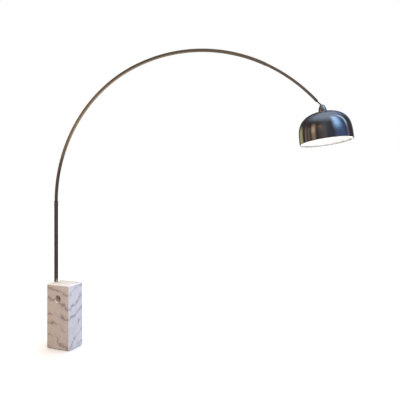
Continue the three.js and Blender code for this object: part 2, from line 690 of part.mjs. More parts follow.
function perforationTools() {
  const tools = [];
  PERFORATION_ROWS.forEach((radius, row) => {
    for (let i = 0; i < PERFORATIONS_PER_ROW; i += 1) {
      const turn = (2 * Math.PI * (i + (row % 2) / 2 + 0.25)) / PERFORATIONS_PER_ROW;
      const tool = rod(PERFORATION_RADIUS, -4, 4, PERFORATION_SIDES);
      const slope = (shadeHeightAt(radius - 1) - shadeHeightAt(radius + 1)) / 2;
      const height = shadePoint(radius)[1];
      tool.rotateY(Math.atan(slope)).translate(radius, 0, height).rotateZ(turn);
      tools.push(tool);
    }
  });
  return tools;
}

function buildShade(head) {
  const crownHole = HOLDER_RADIUS + GAP;
  const skirtDepth = SHADE_WALL + SEAT_THICKNESS + 2 * GAP;
  const betweenRows = PERFORATION_ROWS.slice(1).map((r, i) => (r + PERFORATION_ROWS[i]) / 2);
  const firstRow = PERFORATION_ROWS[0];
  const lastRow = PERFORATION_ROWS[PERFORATION_ROWS.length - 1];
  const clear = PERFORATION_RADIUS + 2;
  const radii = [CROWN_RADIUS, firstRow - clear, ...betweenRows, lastRow + clear, CAP_EDGE_RADIUS - 1.5];
  const skirt = [0, 0.1, 0.55, 1].map((share) => shadePoint(CAP_EDGE_RADIUS + share * CAP_SKIRT));
  const outer = [
    [crownHole, CROWN_Z],
    ...radii.map((r) => shadePoint(r)),
    ...inset(skirt, skirtDepth),
  ];
  const inner = outer.map(([r, z]) => [r, z - SHADE_WALL]).reverse();
  const cap = turned([...outer, ...inner], SHADE_SEGMENTS);
  add('shade_cap', cut(cap, ...perforationTools()), nickel, head);

  const seatTop = SHADE_WALL + GAP;
  const seatOutside = inset(skirt, seatTop).slice(1);
  const seatInside = inset(skirt, seatTop + SEAT_THICKNESS).slice(1).reverse();
  add('shade_seat_ring', turned([...seatOutside, ...seatInside], SHADE_SEGMENTS), felt, head);

  const rim = -PIVOT_HEIGHT;
  const wallOutline = shadeOutline(CAP_EDGE_RADIUS, 0.06, 10);
  const bowl = [
    ...wallOutline,
    [SHADE_RADIUS, rim + RIM_BEAD * 1.6], [SHADE_RADIUS + RIM_BEAD * 0.4, rim + RIM_BEAD * 0.8],
    [SHADE_RADIUS - RIM_BEAD * 0.2, rim], [SHADE_RADIUS - RIM_BEAD, rim],
    [SHADE_RADIUS - RIM_BEAD * 1.5, rim + RIM_BEAD * 0.8], [SHADE_RADIUS - SHADE_WALL, rim + RIM_BEAD * 1.6],
    ...inset(wallOutline, SHADE_WALL).reverse(),
  ];
  add('reflector_bowl', turned(bowl, SHADE_SEGMENTS), nickel, head);
}

function buildLampholder(head) {
  const crown = CROWN_Z;
  const bellBottom = crown + GAP;
  const bellOutline = [
    [BELL_MOUTH_RADIUS, BELL_MOUTH_RISE],
    [BELL_MOUTH_RADIUS + 2, 0],
    ...BELL_CURVE.map(([inwards, down]) => [BELL_RADIUS - inwards, -down]),
    [BELL_RADIUS, bellBottom],
  ];
  add('holder_bell', turned(walled(bellOutline, BELL_WALL)), chrome, head);

  const flangeBottom = crown + GAP;
  const flangeTop = flangeBottom + HOLDER_FLANGE_HEIGHT;
  const webTop = crown - HOLDER_WEB_DROP;
  const webBottom = webTop - HOLDER_WEB;
  const bottom = crown - HOLDER_LENGTH;
  const chamber = HOLDER_CAP_RADIUS - HOLDER_CAP_WALL;
  const contactHole = CONTACT_RADIUS + GAP;
  add('holder_body', turned([
    [contactHole, webTop], [chamber, webTop], [chamber, flangeTop], [HOLDER_FLANGE_RADIUS, flangeTop],
    [HOLDER_FLANGE_RADIUS, flangeBottom], [HOLDER_RADIUS, flangeBottom], [HOLDER_RADIUS, bottom],
    [HOLDER_BORE_RADIUS, bottom], [HOLDER_BORE_RADIUS, webBottom], [contactHole, webBottom],
  ]), porcelain, head);

  const capTop = -KNUCKLE_FLANGE_TOP - KNUCKLE_FLANGE_HEIGHT - 5;
  const capBottom = flangeTop + GAP;
  const roof = capTop - HOLDER_CAP_ROOF;
  const nippleHole = NIPPLE_RADIUS + GAP;
  add('holder_cap', turned([
    [nippleHole, capTop], [HOLDER_CAP_RADIUS - 3, capTop], [HOLDER_CAP_RADIUS, capTop - 3],
    [HOLDER_CAP_RADIUS, capBottom], [chamber, capBottom], [chamber, roof], [nippleHole, roof],
  ]), porcelain, head);
  const nippleNut = nut(NIPPLE_NUT_FLATS, nippleHole, roof - GAP - NIPPLE_NUT_HEIGHT, roof - GAP);
  add('nipple_nut', nippleNut, zincSteel, head);

  const ringTop = crown - SHADE_WALL - GAP;
  const ringInner = HOLDER_RADIUS + GAP;
  add('shade_ring', turned([
    [ringInner, ringTop - SHADE_RING_HEIGHT], [SHADE_RING_RADIUS - 2, ringTop - SHADE_RING_HEIGHT],
    [SHADE_RING_RADIUS, ringTop - SHADE_RING_HEIGHT + 2], [SHADE_RING_RADIUS, ringTop], [ringInner, ringTop],
  ]), porcelain, head);

  const shellTop = webBottom - GAP;
  const shellOuter = HOLDER_BORE_RADIUS - GAP;
  add('holder_shell', ring(shellOuter - SHELL_WALL, shellOuter, bottom + 4, shellTop), brass, head);
  const contactBottom = shellTop - 2;
  add('centre_contact', rod(CONTACT_RADIUS, contactBottom, webTop + 1.5, 16), brass, head);
  buildBulb(head, contactBottom - GAP, shellOuter - SHELL_WALL - GAP);
}

function buildBulb(head, top, capRadius) {
  const tipBottom = top - BULB_TIP_HEIGHT;
  const tip = [
    [0, tipBottom], [BULB_TIP_RADIUS, tipBottom], [BULB_TIP_RADIUS, top - 1], [BULB_TIP_RADIUS / 2, top],
    [0, top],
  ];
  add('bulb_tip', turned(tip, 16), brass, head);
  const capTop = tipBottom - GAP;
  const capBottom = capTop - BULB_CAP_LENGTH;
  const bore = capRadius - BULB_CAP_WALL;
  add('bulb_cap', turned([
    [0, capTop], [6, capTop], [capRadius - 0.8, capTop - 4], [capRadius, capTop - 6], [capRadius, capBottom],
    [bore, capBottom], [bore, capTop - 6.3], [capRadius - 1.3, capTop - 4.6],
    [6, capTop - 0.7], [0, capTop - 0.7],
  ]), brass, head);
  add('bulb_glass', turned(bulbOutline(capTop - BULB_SEAT)), opalGlass, head);
}

// A neck that swells into a ball, open at the top of the neck.
function bulbOutline(top) {
  const centre = top - BULB_LENGTH + BULB_RADIUS;
  const outer = [[BULB_NECK_RADIUS, top], [BULB_NECK_RADIUS, top - 18], [BULB_NECK_RADIUS + 3.6, top - 28]];
  const start = 48 * DEG;
  const steps = 9;
  for (let i = 0; i <= steps; i += 1) {
    const angle = THREE.MathUtils.lerp(start, -Math.PI / 2, i / steps);
    const r = i === steps ? 0 : BULB_RADIUS * Math.cos(angle);
    outer.push([r, centre + BULB_RADIUS * Math.sin(angle)]);
  }
  return walled(outer, BULB_WALL);
}

buildFoot();
buildStem();
buildArc();
buildWiring();
buildMastEnd();
const head = headGroup();
buildKnuckle(head);
buildShade(head);
buildLampholder(head);

export default lamp;
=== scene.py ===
import json
import math
import bmesh
import bpy
from bpy.props import FloatProperty, FloatVectorProperty, IntProperty, PointerProperty
from mathutils import Matrix, Vector


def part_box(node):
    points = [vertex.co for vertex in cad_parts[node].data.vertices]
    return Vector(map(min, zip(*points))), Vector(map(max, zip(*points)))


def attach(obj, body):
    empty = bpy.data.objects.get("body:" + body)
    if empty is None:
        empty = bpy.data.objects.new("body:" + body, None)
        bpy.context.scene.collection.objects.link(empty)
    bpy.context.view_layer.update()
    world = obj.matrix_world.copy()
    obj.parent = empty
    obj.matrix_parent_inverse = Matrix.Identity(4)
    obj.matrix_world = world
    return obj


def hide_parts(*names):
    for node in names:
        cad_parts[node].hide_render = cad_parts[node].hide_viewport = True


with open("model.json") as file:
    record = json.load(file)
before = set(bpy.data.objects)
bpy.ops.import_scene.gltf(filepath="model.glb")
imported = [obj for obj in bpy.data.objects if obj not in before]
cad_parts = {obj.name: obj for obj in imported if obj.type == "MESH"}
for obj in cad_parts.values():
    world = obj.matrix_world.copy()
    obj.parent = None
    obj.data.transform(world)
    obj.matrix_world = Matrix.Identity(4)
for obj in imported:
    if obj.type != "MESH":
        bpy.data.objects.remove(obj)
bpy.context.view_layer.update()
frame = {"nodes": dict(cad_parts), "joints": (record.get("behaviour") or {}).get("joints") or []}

bl_info = {
    "name": "Arc floor lamp",
    "version": (1, 0, 0),
    "blender": (4, 5, 0),
    "location": "3D View > Sidebar > Arc Lamp",
    "description": "Builds the finished surfaces of a marble-footed arc floor lamp round its frame",
    "category": "Object",
}

JOINTS = {joint["name"]: joint for joint in frame["joints"]}
PIVOT = Vector(JOINTS["head_turn"]["pos_m"])
HEAD_AXIS = Vector(JOINTS["head_turn"]["axis"]).normalized()
HEAD_LEAN = math.atan2(HEAD_AXIS.x, HEAD_AXIS.z)
# The head's own frame: its origin at the knuckle's pivot and its axis upright.
HEAD = Matrix.Translation(PIVOT) @ Matrix.Rotation(HEAD_LEAN, 4, "Y")
ARC_CENTRE = Vector(JOINTS["mast_extend"]["pos_m"])
GAP = 0.0003
TUBE_STEP = 0.008
CROWN_FLAT = 0.027
# The bowl's outline is a superellipse with these powers.
ACROSS_POWER, UP_POWER = 2.21, 3.72
FULL_TURN = 2 * math.pi

VECTOR = "NodeSocketVector"
NUMBER = "NodeSocketFloat"
COUNT = "NodeSocketInt"
MATERIAL = "NodeSocketMaterial"


def middle(node):
    low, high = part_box(node)
    return (low + high) / 2


# ---- Sizes and colours that a user may change ----


def length(name, description, default):
    return FloatProperty(name=name, description=description, default=default, min=0, unit="LENGTH", precision=4)


def colour(name, description, default):
    return FloatVectorProperty(
        name=name, description=description, default=default, size=3, subtype="COLOR", min=0, max=1,
    )


def tilt(name, description, degrees):
    return FloatProperty(name=name, description=description, default=math.radians(degrees), subtype="ANGLE")


class ArcLampSizes(bpy.types.PropertyGroup):
    edge_chamfer: length("Stone edge", "Width of the flat taken off the block's edges", 0.008)
    mouth_chamfer: length("Hole edge", "Width of the flat taken off the lifting hole's mouths", 0.004)
    lift_radius: length("Lifting hole", "Radius of the hole through the block", 0.029)
    lift_drop: length("Hole depth", "From the block's top to the hole's axis", 0.123)
    stem_width: length("Stem width", "Outside width of the upright square tube", 0.025)
    arc_width: length("Arc width", "Outside width of the arc's square tube", 0.0204)
    end_width: length("End width", "Outside width of the sliding end tube", 0.0176)
    stem_wall: length("Stem wall", "Wall of the upright tube", 0.002)
    arc_wall: length("Arc wall", "Wall of the arc's tubes", 0.0011)
    tube_corner: length("Tube corner", "Outer corner radius of the square tubes", 0.0022)
    arc_start: length("Arc start", "Height where the straight line turns into the arc", 1.257)
    rear_radius: length("Rear radius", "Radius of the arc's rear part", 1.14)
    front_radius: length("Front radius", "Radius of the arc's front part", 1.32)
    rear_sweep: tilt("Rear sweep", "Lean where the wider arc begins", 72)
    seam_lean: tilt("Seam", "Lean of the mast at the coupling", 29)
    outer_lean: tilt("Outer end", "Lean where the outer tube ends", 120)
    inner_lean: tilt("Inner start", "Lean where the end tube starts", 106)
    end_lean: tilt("Mast end", "Lean where the end tube ends", 139.7)
    shade_radius: length("Shade radius", "Outside radius of the bowl at its rim", 0.1737)
    shade_height: length("Shade height", "From the rim's plane to the crown", 0.203)
    pivot_height: length("Pivot height", "From the rim's plane to the knuckle", 0.247)
    shade_wall: length("Shade wall", "Thickness of the spun sheet", 0.0012)
    bare_lip: length("Bare lip", "Height of bare metal inside the rim, below the lining", 0.009)
    cap_radius: length("Cap radius", "Radius where the bowl meets the perforated cap", 0.112)
    hole_radius: length("Perforation", "Radius of the cap's round holes", 0.005)
    holes_per_row: IntProperty(name="Holes per row", description="Perforations round each row", default=18, min=3)


class ArcLampColours(bpy.types.PropertyGroup):
    marble: colour("Marble", "Ground colour of the stone", (0.87, 0.84, 0.81))
    vein: colour("Vein", "Colour of the stone's veins", (0.38, 0.34, 0.36))
    mast: colour("Mast", "Brushed steel of the mast", (0.58, 0.50, 0.42))
    shade: colour("Shade", "Polished metal of the shade", (0.46, 0.45, 0.46))
    lining: colour("Lining", "Gloss paint inside the shade", (0.90, 0.90, 0.89))
    floor: colour("Floor", "Plain studio floor", (0.98, 0.98, 0.98))


def sizes():
    return bpy.context.scene.arc_lamp_sizes


def colours():
    return bpy.context.scene.arc_lamp_colours


# ---- Node trees ----


def fill(tree, socket, value):
    """Links an input or sets it, with a full alpha where a colour has none. None leaves it alone."""
    if isinstance(value, bpy.types.NodeSocket):
        tree.links.new(value, socket)
    elif value is not None:
        opaque = socket.type == "RGBA" and len(value) == 3
        socket.default_value = (*value, 1) if opaque else value


def add_node(tree, kind, inputs=None, **settings):
    """Adds a node, sets its options, and fills its inputs with values or links."""
    made = tree.nodes.new(kind)
    for key, value in settings.items():
        setattr(made, key, value)
    for key, value in (inputs or {}).items():
        fill(tree, made.inputs[key], value)
    return made


def maths(tree, operation, first, second=None, third=None):
    made = add_node(tree, "ShaderNodeMath", {0: first, 1: second, 2: third}, operation=operation)
    return made.outputs[0]


def vector_maths(tree, operation, first, second=None, scale=None):
    inputs = {0: first, 1: second}
    if scale is not None:
        inputs = {0: first, "Scale": scale}
    made = add_node(tree, "ShaderNodeVectorMath", inputs, operation=operation)
    return made.outputs["Value"] if operation in ("LENGTH", "DOT_PRODUCT") else made.outputs["Vector"]


def smooth_step(tree, value, low, high, to_low=0.0, to_high=1.0):
    inputs = {"Value": value, "From Min": low, "From Max": high, "To Min": to_low, "To Max": to_high}
    return add_node(tree, "ShaderNodeMapRange", inputs, interpolation_type="SMOOTHSTEP").outputs["Result"]


def blend_colours(tree, factor, first, second):
    """Mixes two colours. The node has an input 0 for the factor, and 6 and 7 for colours."""
    return add_node(tree, "ShaderNodeMix", {0: factor, 6: first, 7: second}, data_type="RGBA").outputs[2]


def noise(tree, place, scale, detail, roughness=None, distortion=None):
    """The value of a noise texture, from 0 to 1."""
    inputs = {"Vector": place, "Scale": scale, "Detail": detail, "Roughness": roughness, "Distortion": distortion}
    return add_node(tree, "ShaderNodeTexNoise", inputs).outputs["Fac"]


def shader_group(name, inputs, outputs, build):
    """A shader node group made once: build(tree, group_inputs) returns its output sockets."""
    if name in bpy.data.node_groups:
        return bpy.data.node_groups[name]
    tree = bpy.data.node_groups.new(name, "ShaderNodeTree")
    for label, kind, default in inputs:
        socket = tree.interface.new_socket(label, in_out="INPUT", socket_type=kind)
        if default is not None:
            socket.default_value = default
    for label, kind in outputs:
        tree.interface.new_socket(label, in_out="OUTPUT", socket_type=kind)
    start = tree.nodes.new("NodeGroupInput")
    end = tree.nodes.new("NodeGroupOutput")
    for label, socket in build(tree, start.outputs).items():
        tree.links.new(socket, end.inputs[label])
    return tree


def use_group(tree, group, inputs):
    return add_node(tree, "ShaderNodeGroup", inputs, node_tree=group).outputs


def grain_group():
    """Fine parallel brush marks: stretched noise, with a few longer scratches."""

    def build(tree, given):
        fine = noise(tree, given["Vector"], 1.0, 4.0, 0.7)
        marks = noise(tree, vector_maths(tree, "SCALE", given["Vector"], scale=0.23), 1.0, 2.0)
        scratch = smooth_step(tree, marks, 0.62, 0.75)
        return {"Value": maths(tree, "MULTIPLY_ADD", scratch, given["Scratches"], fine)}

    inputs = [("Vector", VECTOR, None), ("Scratches", NUMBER, 0.3)]
    return shader_group("brushed_grain", inputs, [("Value", NUMBER)], build)


def wear_group():
    """Soft smudges of handling and dust, from 0 where clean to 1."""

    def build(tree, given):
        mask = smooth_step(tree, noise(tree, given["Vector"], given["Scale"], 5.0, 0.62, 0.4), 0.45, 0.72)
        speck = noise(tree, given["Vector"], maths(tree, "MULTIPLY", given["Scale"], 38.0), 1.0)
        dots = smooth_step(tree, speck, 0.66, 0.74)
        return {"Mask": maths(tree, "MULTIPLY_ADD", dots, 0.25, mask)}

    inputs = [("Vector", VECTOR, None), ("Scale", NUMBER, 12.0)]
    return shader_group("handling_wear", inputs, [("Mask", NUMBER)], build)


def vein_group():
    """Veins of a sawn block: wavy sheets that lie aslant, with thin branches and cloudy ground."""

    def build(tree, given):
        place = given["Vector"]
        bend = noise(tree, place, 6.5, 4.0, 0.55)
        curl = noise(tree, place, 24.0, 3.0, 0.6)
        level = vector_maths(tree, "DOT_PRODUCT", place, given["Across"])
        turns = maths(tree, "DIVIDE", level, given["Spacing"])
        turns = maths(tree, "MULTIPLY_ADD", bend, 1.7, turns)
        turns = maths(tree, "MULTIPLY_ADD", curl, 0.85, turns)
        ridge = maths(tree, "ABSOLUTE", maths(tree, "SUBTRACT", maths(tree, "FRACT", turns), 0.5))
        core = smooth_step(tree, ridge, 0.02, 0.15, 1.0, 0.0)
        halo = smooth_step(tree, ridge, 0.0, 0.30, 1.0, 0.0)
        strength = smooth_step(tree, noise(tree, place, 9.0, 3.0), 0.36, 0.56, 0.12, 0.85)
        branch = noise(tree, place, 11.0, 6.0, 0.6, 1.1)
        thin = maths(tree, "ABSOLUTE", maths(tree, "SUBTRACT", branch, 0.5))
        threads = smooth_step(tree, thin, 0.0, 0.014, 0.42, 0.0)
        main = maths(tree, "MULTIPLY", core, strength)
        soft = maths(tree, "MULTIPLY", maths(tree, "MULTIPLY", halo, 0.34), maths(tree, "ADD", strength, 0.2))
        veins = maths(tree, "MAXIMUM", maths(tree, "MAXIMUM", main, soft), maths(tree, "MULTIPLY", threads, strength))
        cloud = noise(tree, place, 4.0, 5.0, 0.65)
        return {"Veins": veins, "Cloud": smooth_step(tree, cloud, 0.3, 0.75)}

    inputs = [("Vector", VECTOR, None), ("Across", VECTOR, (0.30, -0.52, 1.0)), ("Spacing", NUMBER, 0.105)]
    return shader_group("slanting_veins", inputs, [("Veins", NUMBER), ("Cloud", NUMBER)], build)


def grain_marks(tree, place, scratches):
    return use_group(tree, grain_group(), {"Vector": place, "Scratches": scratches})["Value"]


def smudges(tree, place, scale):
    return use_group(tree, wear_group(), {"Vector": place, "Scale": scale})["Mask"]


def new_material(name):
    material = bpy.data.materials.new("finish_" + name)
    material.use_nodes = True
    tree = material.node_tree
    return material, tree, tree.nodes["Principled BSDF"]


def object_place(tree):
    return tree.nodes.new("ShaderNodeTexCoord").outputs["Object"]


def set_inputs(tree, shader, **values):
    for key, value in values.items():
        fill(tree, shader.inputs[key.replace("_", " ").title().replace("Ior", "IOR")], value)


def bump(tree, height, strength, distance=0.001):
    inputs = {"Height": height, "Strength": strength, "Distance": distance}
    return add_node(tree, "ShaderNodeBump", inputs).outputs["Normal"]


# ---- Materials ----


def times(tint, share):
    return tuple(share * c for c in tint)


def marble_material():
    material, tree, shader = new_material("marble")
    tint = colours()
    place = object_place(tree)
    veins = use_group(tree, vein_group(), {"Vector": place})
    stain = noise(tree, place, 15.0, 4.0)
    ground = blend_colours(tree, veins["Cloud"], tuple(tint.marble), times(tint.marble, 0.92))
    ground = blend_colours(tree, smooth_step(tree, stain, 0.6, 0.78, 0.0, 0.45), ground, (0.72, 0.50, 0.42))
    stone = blend_colours(tree, veins["Veins"], ground, tuple(tint.vein))
    # Painted light on the stone: a near-white painted highlight on the chamfers and the top face, and a warm, darker
    # painted shade on the lifting hole's wall.
    for mark, share, hue in (("painted_edge_highlight", 0.55, (0.99, 0.98, 0.98)), ("painted_bore_shade", 0.8, (0.80, 0.66, 0.54))):
        marked = add_node(tree, "ShaderNodeAttribute", attribute_name=mark).outputs["Fac"]
        stone = blend_colours(tree, maths(tree, "MULTIPLY", marked, share), stone, hue)
    rough = smooth_step(tree, smudges(tree, place, 9.0), 0.0, 1.2, 0.16, 0.34)
    fine = bump(tree, noise(tree, place, 900.0, 2.0), 0.04, 0.0004)
    set_inputs(tree, shader, base_color=stone, roughness=rough, ior=1.5, normal=fine)
    return material


def tube_material(name, tint, rough_low, rough_high):
    """Steel brushed along a tube, which carries its own length and girth as tube_place."""
    material, tree, shader = new_material(name)
    along = add_node(tree, "ShaderNodeAttribute", attribute_name="tube_place").outputs["Vector"]
    stretched = vector_maths(tree, "MULTIPLY", along, (9.0, 2600.0, 1.0))
    grain = grain_marks(tree, stretched, 0.35)
    wear = smudges(tree, object_place(tree), 7.0)
    base = blend_colours(tree, smooth_step(tree, grain, 0.35, 0.8), times(tint, 0.88), tint)
    base = blend_colours(tree, maths(tree, "MULTIPLY", wear, 0.18), base, times(tint, 0.7))
    rough = smooth_step(tree, maths(tree, "MULTIPLY_ADD", wear, 0.35, grain), 0.3, 1.1, rough_low, rough_high)
    way = add_node(tree, "ShaderNodeAttribute", attribute_name="tube_way").outputs["Vector"]
    turned = add_node(
        tree, "ShaderNodeVectorTransform", {"Vector": way},
        vector_type="VECTOR", convert_from="OBJECT", convert_to="WORLD",
    )
    set_inputs(
        tree, shader, base_color=base, metallic=0.95, roughness=rough, anisotropic=0.8, anisotropic_rotation=0.25,
        tangent=turned.outputs["Vector"], normal=bump(tree, grain, 0.08, 0.0002),
    )
    return material


def metal_material(name, tint, rough_low, rough_high, grain_scale=700.0, grain_strength=0.06):
    """Machined or plated metal with faint turning marks, smudges and softly darkened patches."""
    material, tree, shader = new_material(name)
    place = object_place(tree)
    stretched = vector_maths(tree, "MULTIPLY", place, (grain_scale, grain_scale * 0.2, grain_scale))
    grain = grain_marks(tree, stretched, 0.25)
    wear = smudges(tree, place, 60.0)
    base = blend_colours(tree, maths(tree, "MULTIPLY", wear, 0.3), tint, times(tint, 0.72))
    rough = smooth_step(tree, maths(tree, "MULTIPLY_ADD", grain, 0.4, wear), 0.1, 1.3, rough_low, rough_high)
    fine = bump(tree, grain, grain_strength, 0.0002)
    set_inputs(tree, shader, base_color=base, metallic=1.0, roughness=rough, normal=fine)
    return material


def head_place(tree):
    """The place in the head's own frame: turned upright, with its middle on the shade's axis."""
    inputs = {"Vector": object_place(tree), "Location": PIVOT, "Rotation": (0, HEAD_LEAN, 0)}
    return add_node(tree, "ShaderNodeMapping", inputs, vector_type="TEXTURE").outputs["Vector"]


def spun_rings(tree):
    """Rings left by spinning: noise that changes down the outline and hardly round it."""
    place = head_place(tree)
    parts = add_node(tree, "ShaderNodeSeparateXYZ", {"Vector": place}).outputs
    flat = add_node(tree, "ShaderNodeCombineXYZ", {"X": parts["X"], "Y": parts["Y"]}).outputs["Vector"]
    out = vector_maths(tree, "LENGTH", flat)
    down = maths(tree, "SUBTRACT", parts["Z"], out)
    rings = add_node(tree, "ShaderNodeCombineXYZ", {
        "X": maths(tree, "MULTIPLY", parts["X"], 2.0),
        "Y": maths(tree, "MULTIPLY", parts["Y"], 2.0),
        "Z": maths(tree, "MULTIPLY", down, 1400.0),
    }).outputs["Vector"]
    return rings, place


def shade_material():
    material, tree, shader = new_material("shade_metal")
    tint = tuple(colours().shade)
    rings, place = spun_rings(tree)
    grain = grain_marks(tree, rings, 0.3)
    wear = smudges(tree, place, 9.0)
    base = blend_colours(tree, smooth_step(tree, grain, 0.35, 0.75), times(tint, 0.93), tint)
    base = blend_colours(tree, maths(tree, "MULTIPLY", wear, 0.12), base, times(tint, 0.75))
    rough = smooth_step(tree, maths(tree, "MULTIPLY_ADD", wear, 0.4, grain), 0.3, 1.2, 0.07, 0.15)
    set_inputs(tree, shader, base_color=base, metallic=1.0, roughness=rough, normal=bump(tree, grain, 0.05, 0.0002))
    return material


def lining_material():
    material, tree, shader = new_material("shade_lining")
    tint = tuple(colours().lining)
    place = object_place(tree)
    peel = noise(tree, place, 420.0, 2.0)
    wear = smudges(tree, place, 14.0)
    base = blend_colours(tree, maths(tree, "MULTIPLY", wear, 0.15), tint, (0.84, 0.84, 0.82))
    rough = smooth_step(tree, wear, 0.0, 1.0, 0.28, 0.42)
    set_inputs(tree, shader, base_color=base, roughness=rough, normal=bump(tree, peel, 0.05, 0.0002))
    return material


def soft_material(name, tint, rough, scale, strength, sheen=0.0):
    """Rubber, felt or moulded plastic: a fine even texture with dusty patches."""
    material, tree, shader = new_material(name)
    place = object_place(tree)
    texture = noise(tree, place, scale, 5.0, 0.7)
    wear = smudges(tree, place, 40.0)
    base = blend_colours(tree, texture, times(tint, 0.75), tuple(min(1.2 * c, 1) for c in tint))
    base = blend_colours(tree, maths(tree, "MULTIPLY", wear, 0.15), base, (0.45, 0.43, 0.40))
    rough_map = smooth_step(tree, wear, 0.0, 1.0, rough, min(rough + 0.12, 1.0))
    fine = bump(tree, texture, strength, 0.0004)
    set_inputs(tree, shader, base_color=base, roughness=rough_map, normal=fine, sheen_weight=sheen)
    return material


def glass_material():
    material, tree, shader = new_material("opal_glass")
    place = object_place(tree)
    haze = noise(tree, place, 35.0, 3.0)
    glow = blend_colours(tree, haze, (1.0, 0.96, 0.90), (1.0, 0.98, 0.94))
    rough = smooth_step(tree, haze, 0.3, 0.7, 0.10, 0.2)
    set_inputs(tree, shader, base_color=glow, roughness=rough, emission_color=glow, emission_strength=20.0)
    return material


def finish(name):
    """The material of a finish, made when it is first asked for."""
    made = bpy.data.materials.get("finish_" + name)
    return made or FINISHES[name]()


FINISHES = {
    "marble": marble_material,
    "mast_steel": lambda: tube_material("mast_steel", tuple(colours().mast), 0.22, 0.42),
    "dark_steel": lambda: metal_material("dark_steel", (0.08, 0.077, 0.074), 0.25, 0.45),
    "hardware": lambda: metal_material("hardware", (0.86, 0.82, 0.79), 0.28, 0.5),
    "chrome": lambda: metal_material("chrome", (0.45, 0.42, 0.40), 0.26, 0.38, 900.0, 0.02),
    "brass": lambda: metal_material("brass", (0.72, 0.55, 0.26), 0.2, 0.4),
    "shade_metal": shade_material,
    "shade_lining": lining_material,
    "rubber": lambda: soft_material("rubber", (0.035, 0.035, 0.036), 0.6, 900.0, 0.25),
    "felt": lambda: soft_material("felt", (0.09, 0.088, 0.086), 0.92, 1600.0, 0.9, 0.3),
    "nylon": lambda: soft_material("nylon", (0.80, 0.77, 0.70), 0.42, 500.0, 0.08),
    "porcelain": lambda: soft_material("porcelain", (0.84, 0.83, 0.80), 0.18, 120.0, 0.02),
    "opal_glass": glass_material,
}


# ---- Meshes ----


def new_piece(name, mesh, body, replaced=()):
    piece = bpy.data.objects.new(name, mesh)
    bpy.context.scene.collection.objects.link(piece)
    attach(piece, body)
    if replaced:
        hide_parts(*replaced)
    return piece


def smooth(mesh, sharp_angle=35.0):
    mesh.polygons.foreach_set("use_smooth", [True] * len(mesh.polygons))
    mesh.set_sharp_from_angle(angle=math.radians(sharp_angle))
    mesh.update()


def outward(bm):
    """Turns a closed mesh's faces out."""
    bmesh.ops.remove_doubles(bm, verts=bm.verts, dist=1e-6)
    if bm.calc_volume(signed=True) < 0:
        bmesh.ops.reverse_faces(bm, faces=bm.faces)


def mesh_from(bm, name, materials, transform=None):
    mesh = bpy.data.meshes.new(name)
    if transform is not None:
        bm.transform(transform)
    bm.to_mesh(mesh)
    bm.free()
    for material in materials:
        mesh.materials.append(material)
    return mesh


def turn_profile(outline, segments, inside_from=None, inside_to=None):
    """A bmesh turned about Z. Stretches of the outline from inside_from to inside_to get slot 1."""
    bm = bmesh.new()
    rings = []
    for radius, height in outline:
        if radius < 1e-7:
            rings.append([bm.verts.new((0, 0, height))])
            continue
        turns = (FULL_TURN * i / segments for i in range(segments))
        rings.append([bm.verts.new((radius * math.cos(t), radius * math.sin(t), height)) for t in turns])
    on_axis = len(rings[0]) == 1 or len(rings[-1]) == 1
    pairs = list(zip(rings, rings[1:])) + ([] if on_axis else [(rings[-1], rings[0])])
    for index, (upper, lower) in enumerate(pairs):
        inside = inside_from is not None and inside_from <= index < inside_to
        if len(upper) == len(lower) == 1:
            continue
        for i in range(segments):
            j = (i + 1) % segments
            if len(upper) == 1:
                corners = [upper[0], lower[i], lower[j]]
            elif len(lower) == 1:
                corners = [upper[j], upper[i], lower[0]]
            else:
                corners = [upper[j], upper[i], lower[i], lower[j]]
            bm.faces.new(corners).material_index = int(inside)
    outward(bm)
    return bm


def arc_points(centre, radius, start, stop, steps):
    """Points of a round stretch of an outline, between two angles in degrees."""
    angles = (math.radians(start + (stop - start) * i / steps) for i in range(steps + 1))
    return [(centre[0] + radius * math.cos(a), centre[1] + radius * math.sin(a)) for a in angles]


def rounded(outline, radius, steps=4):
    """The outline with each inner corner taken off by a small round."""
    points = [outline[0]]
    for before, corner, after in zip(outline, outline[1:], outline[2:]):
        here = Vector(corner)
        back, ahead = Vector(before) - here, Vector(after) - here
        reach = min(radius, back.length * 0.45, ahead.length * 0.45)
        first, last = here + back.normalized() * reach, here + ahead.normalized() * reach
        for i in range(steps + 1):
            t = i / steps
            points.append(tuple(first * (1 - t) ** 2 + here * 2 * t * (1 - t) + last * t ** 2))
    return points + [outline[-1]]


def closed_round(outline, radius, steps=4):
    """As rounded, for an outline that closes on itself."""
    turned = [outline[-1]] + list(outline) + [outline[0]]
    return rounded(turned, radius, steps)[1:-1]


def inset(outline, wall):
    """An outline that runs down the outside of a shell, moved in by its wall."""
    moved = []
    for i, (r, z) in enumerate(outline):
        r0, z0 = outline[max(i - 1, 0)]
        r1, z1 = outline[min(i + 1, len(outline) - 1)]
        size = math.hypot(r1 - r0, z1 - z0)
        moved.append((0.0 if r < 1e-7 else max(r + wall * (z1 - z0) / size, 0.0), z - wall * (r1 - r0) / size))
    return moved


def cylinder(bm, radius, low, high, segments, matrix):
    made = bmesh.ops.create_cone(
        bm, cap_ends=True, segments=segments, radius1=radius, radius2=radius, depth=high - low,
        matrix=matrix @ Matrix.Translation((0, 0, (low + high) / 2)),
    )
    return made["verts"]


def cuboid(bm, centre, dimensions):
    made = bmesh.ops.create_cube(bm, size=1.0)
    placed = Matrix.Translation(centre) @ Matrix.Diagonal((*dimensions, 1))
    bmesh.ops.transform(bm, matrix=placed, verts=made["verts"])


def lay(bm, other, matrix):
    """Adds a turned solid to a bmesh, moved by a matrix."""
    other.transform(matrix)
    scratch = bpy.data.meshes.new("laid")
    other.to_mesh(scratch)
    other.free()
    bm.from_mesh(scratch)
    bpy.data.meshes.remove(scratch)


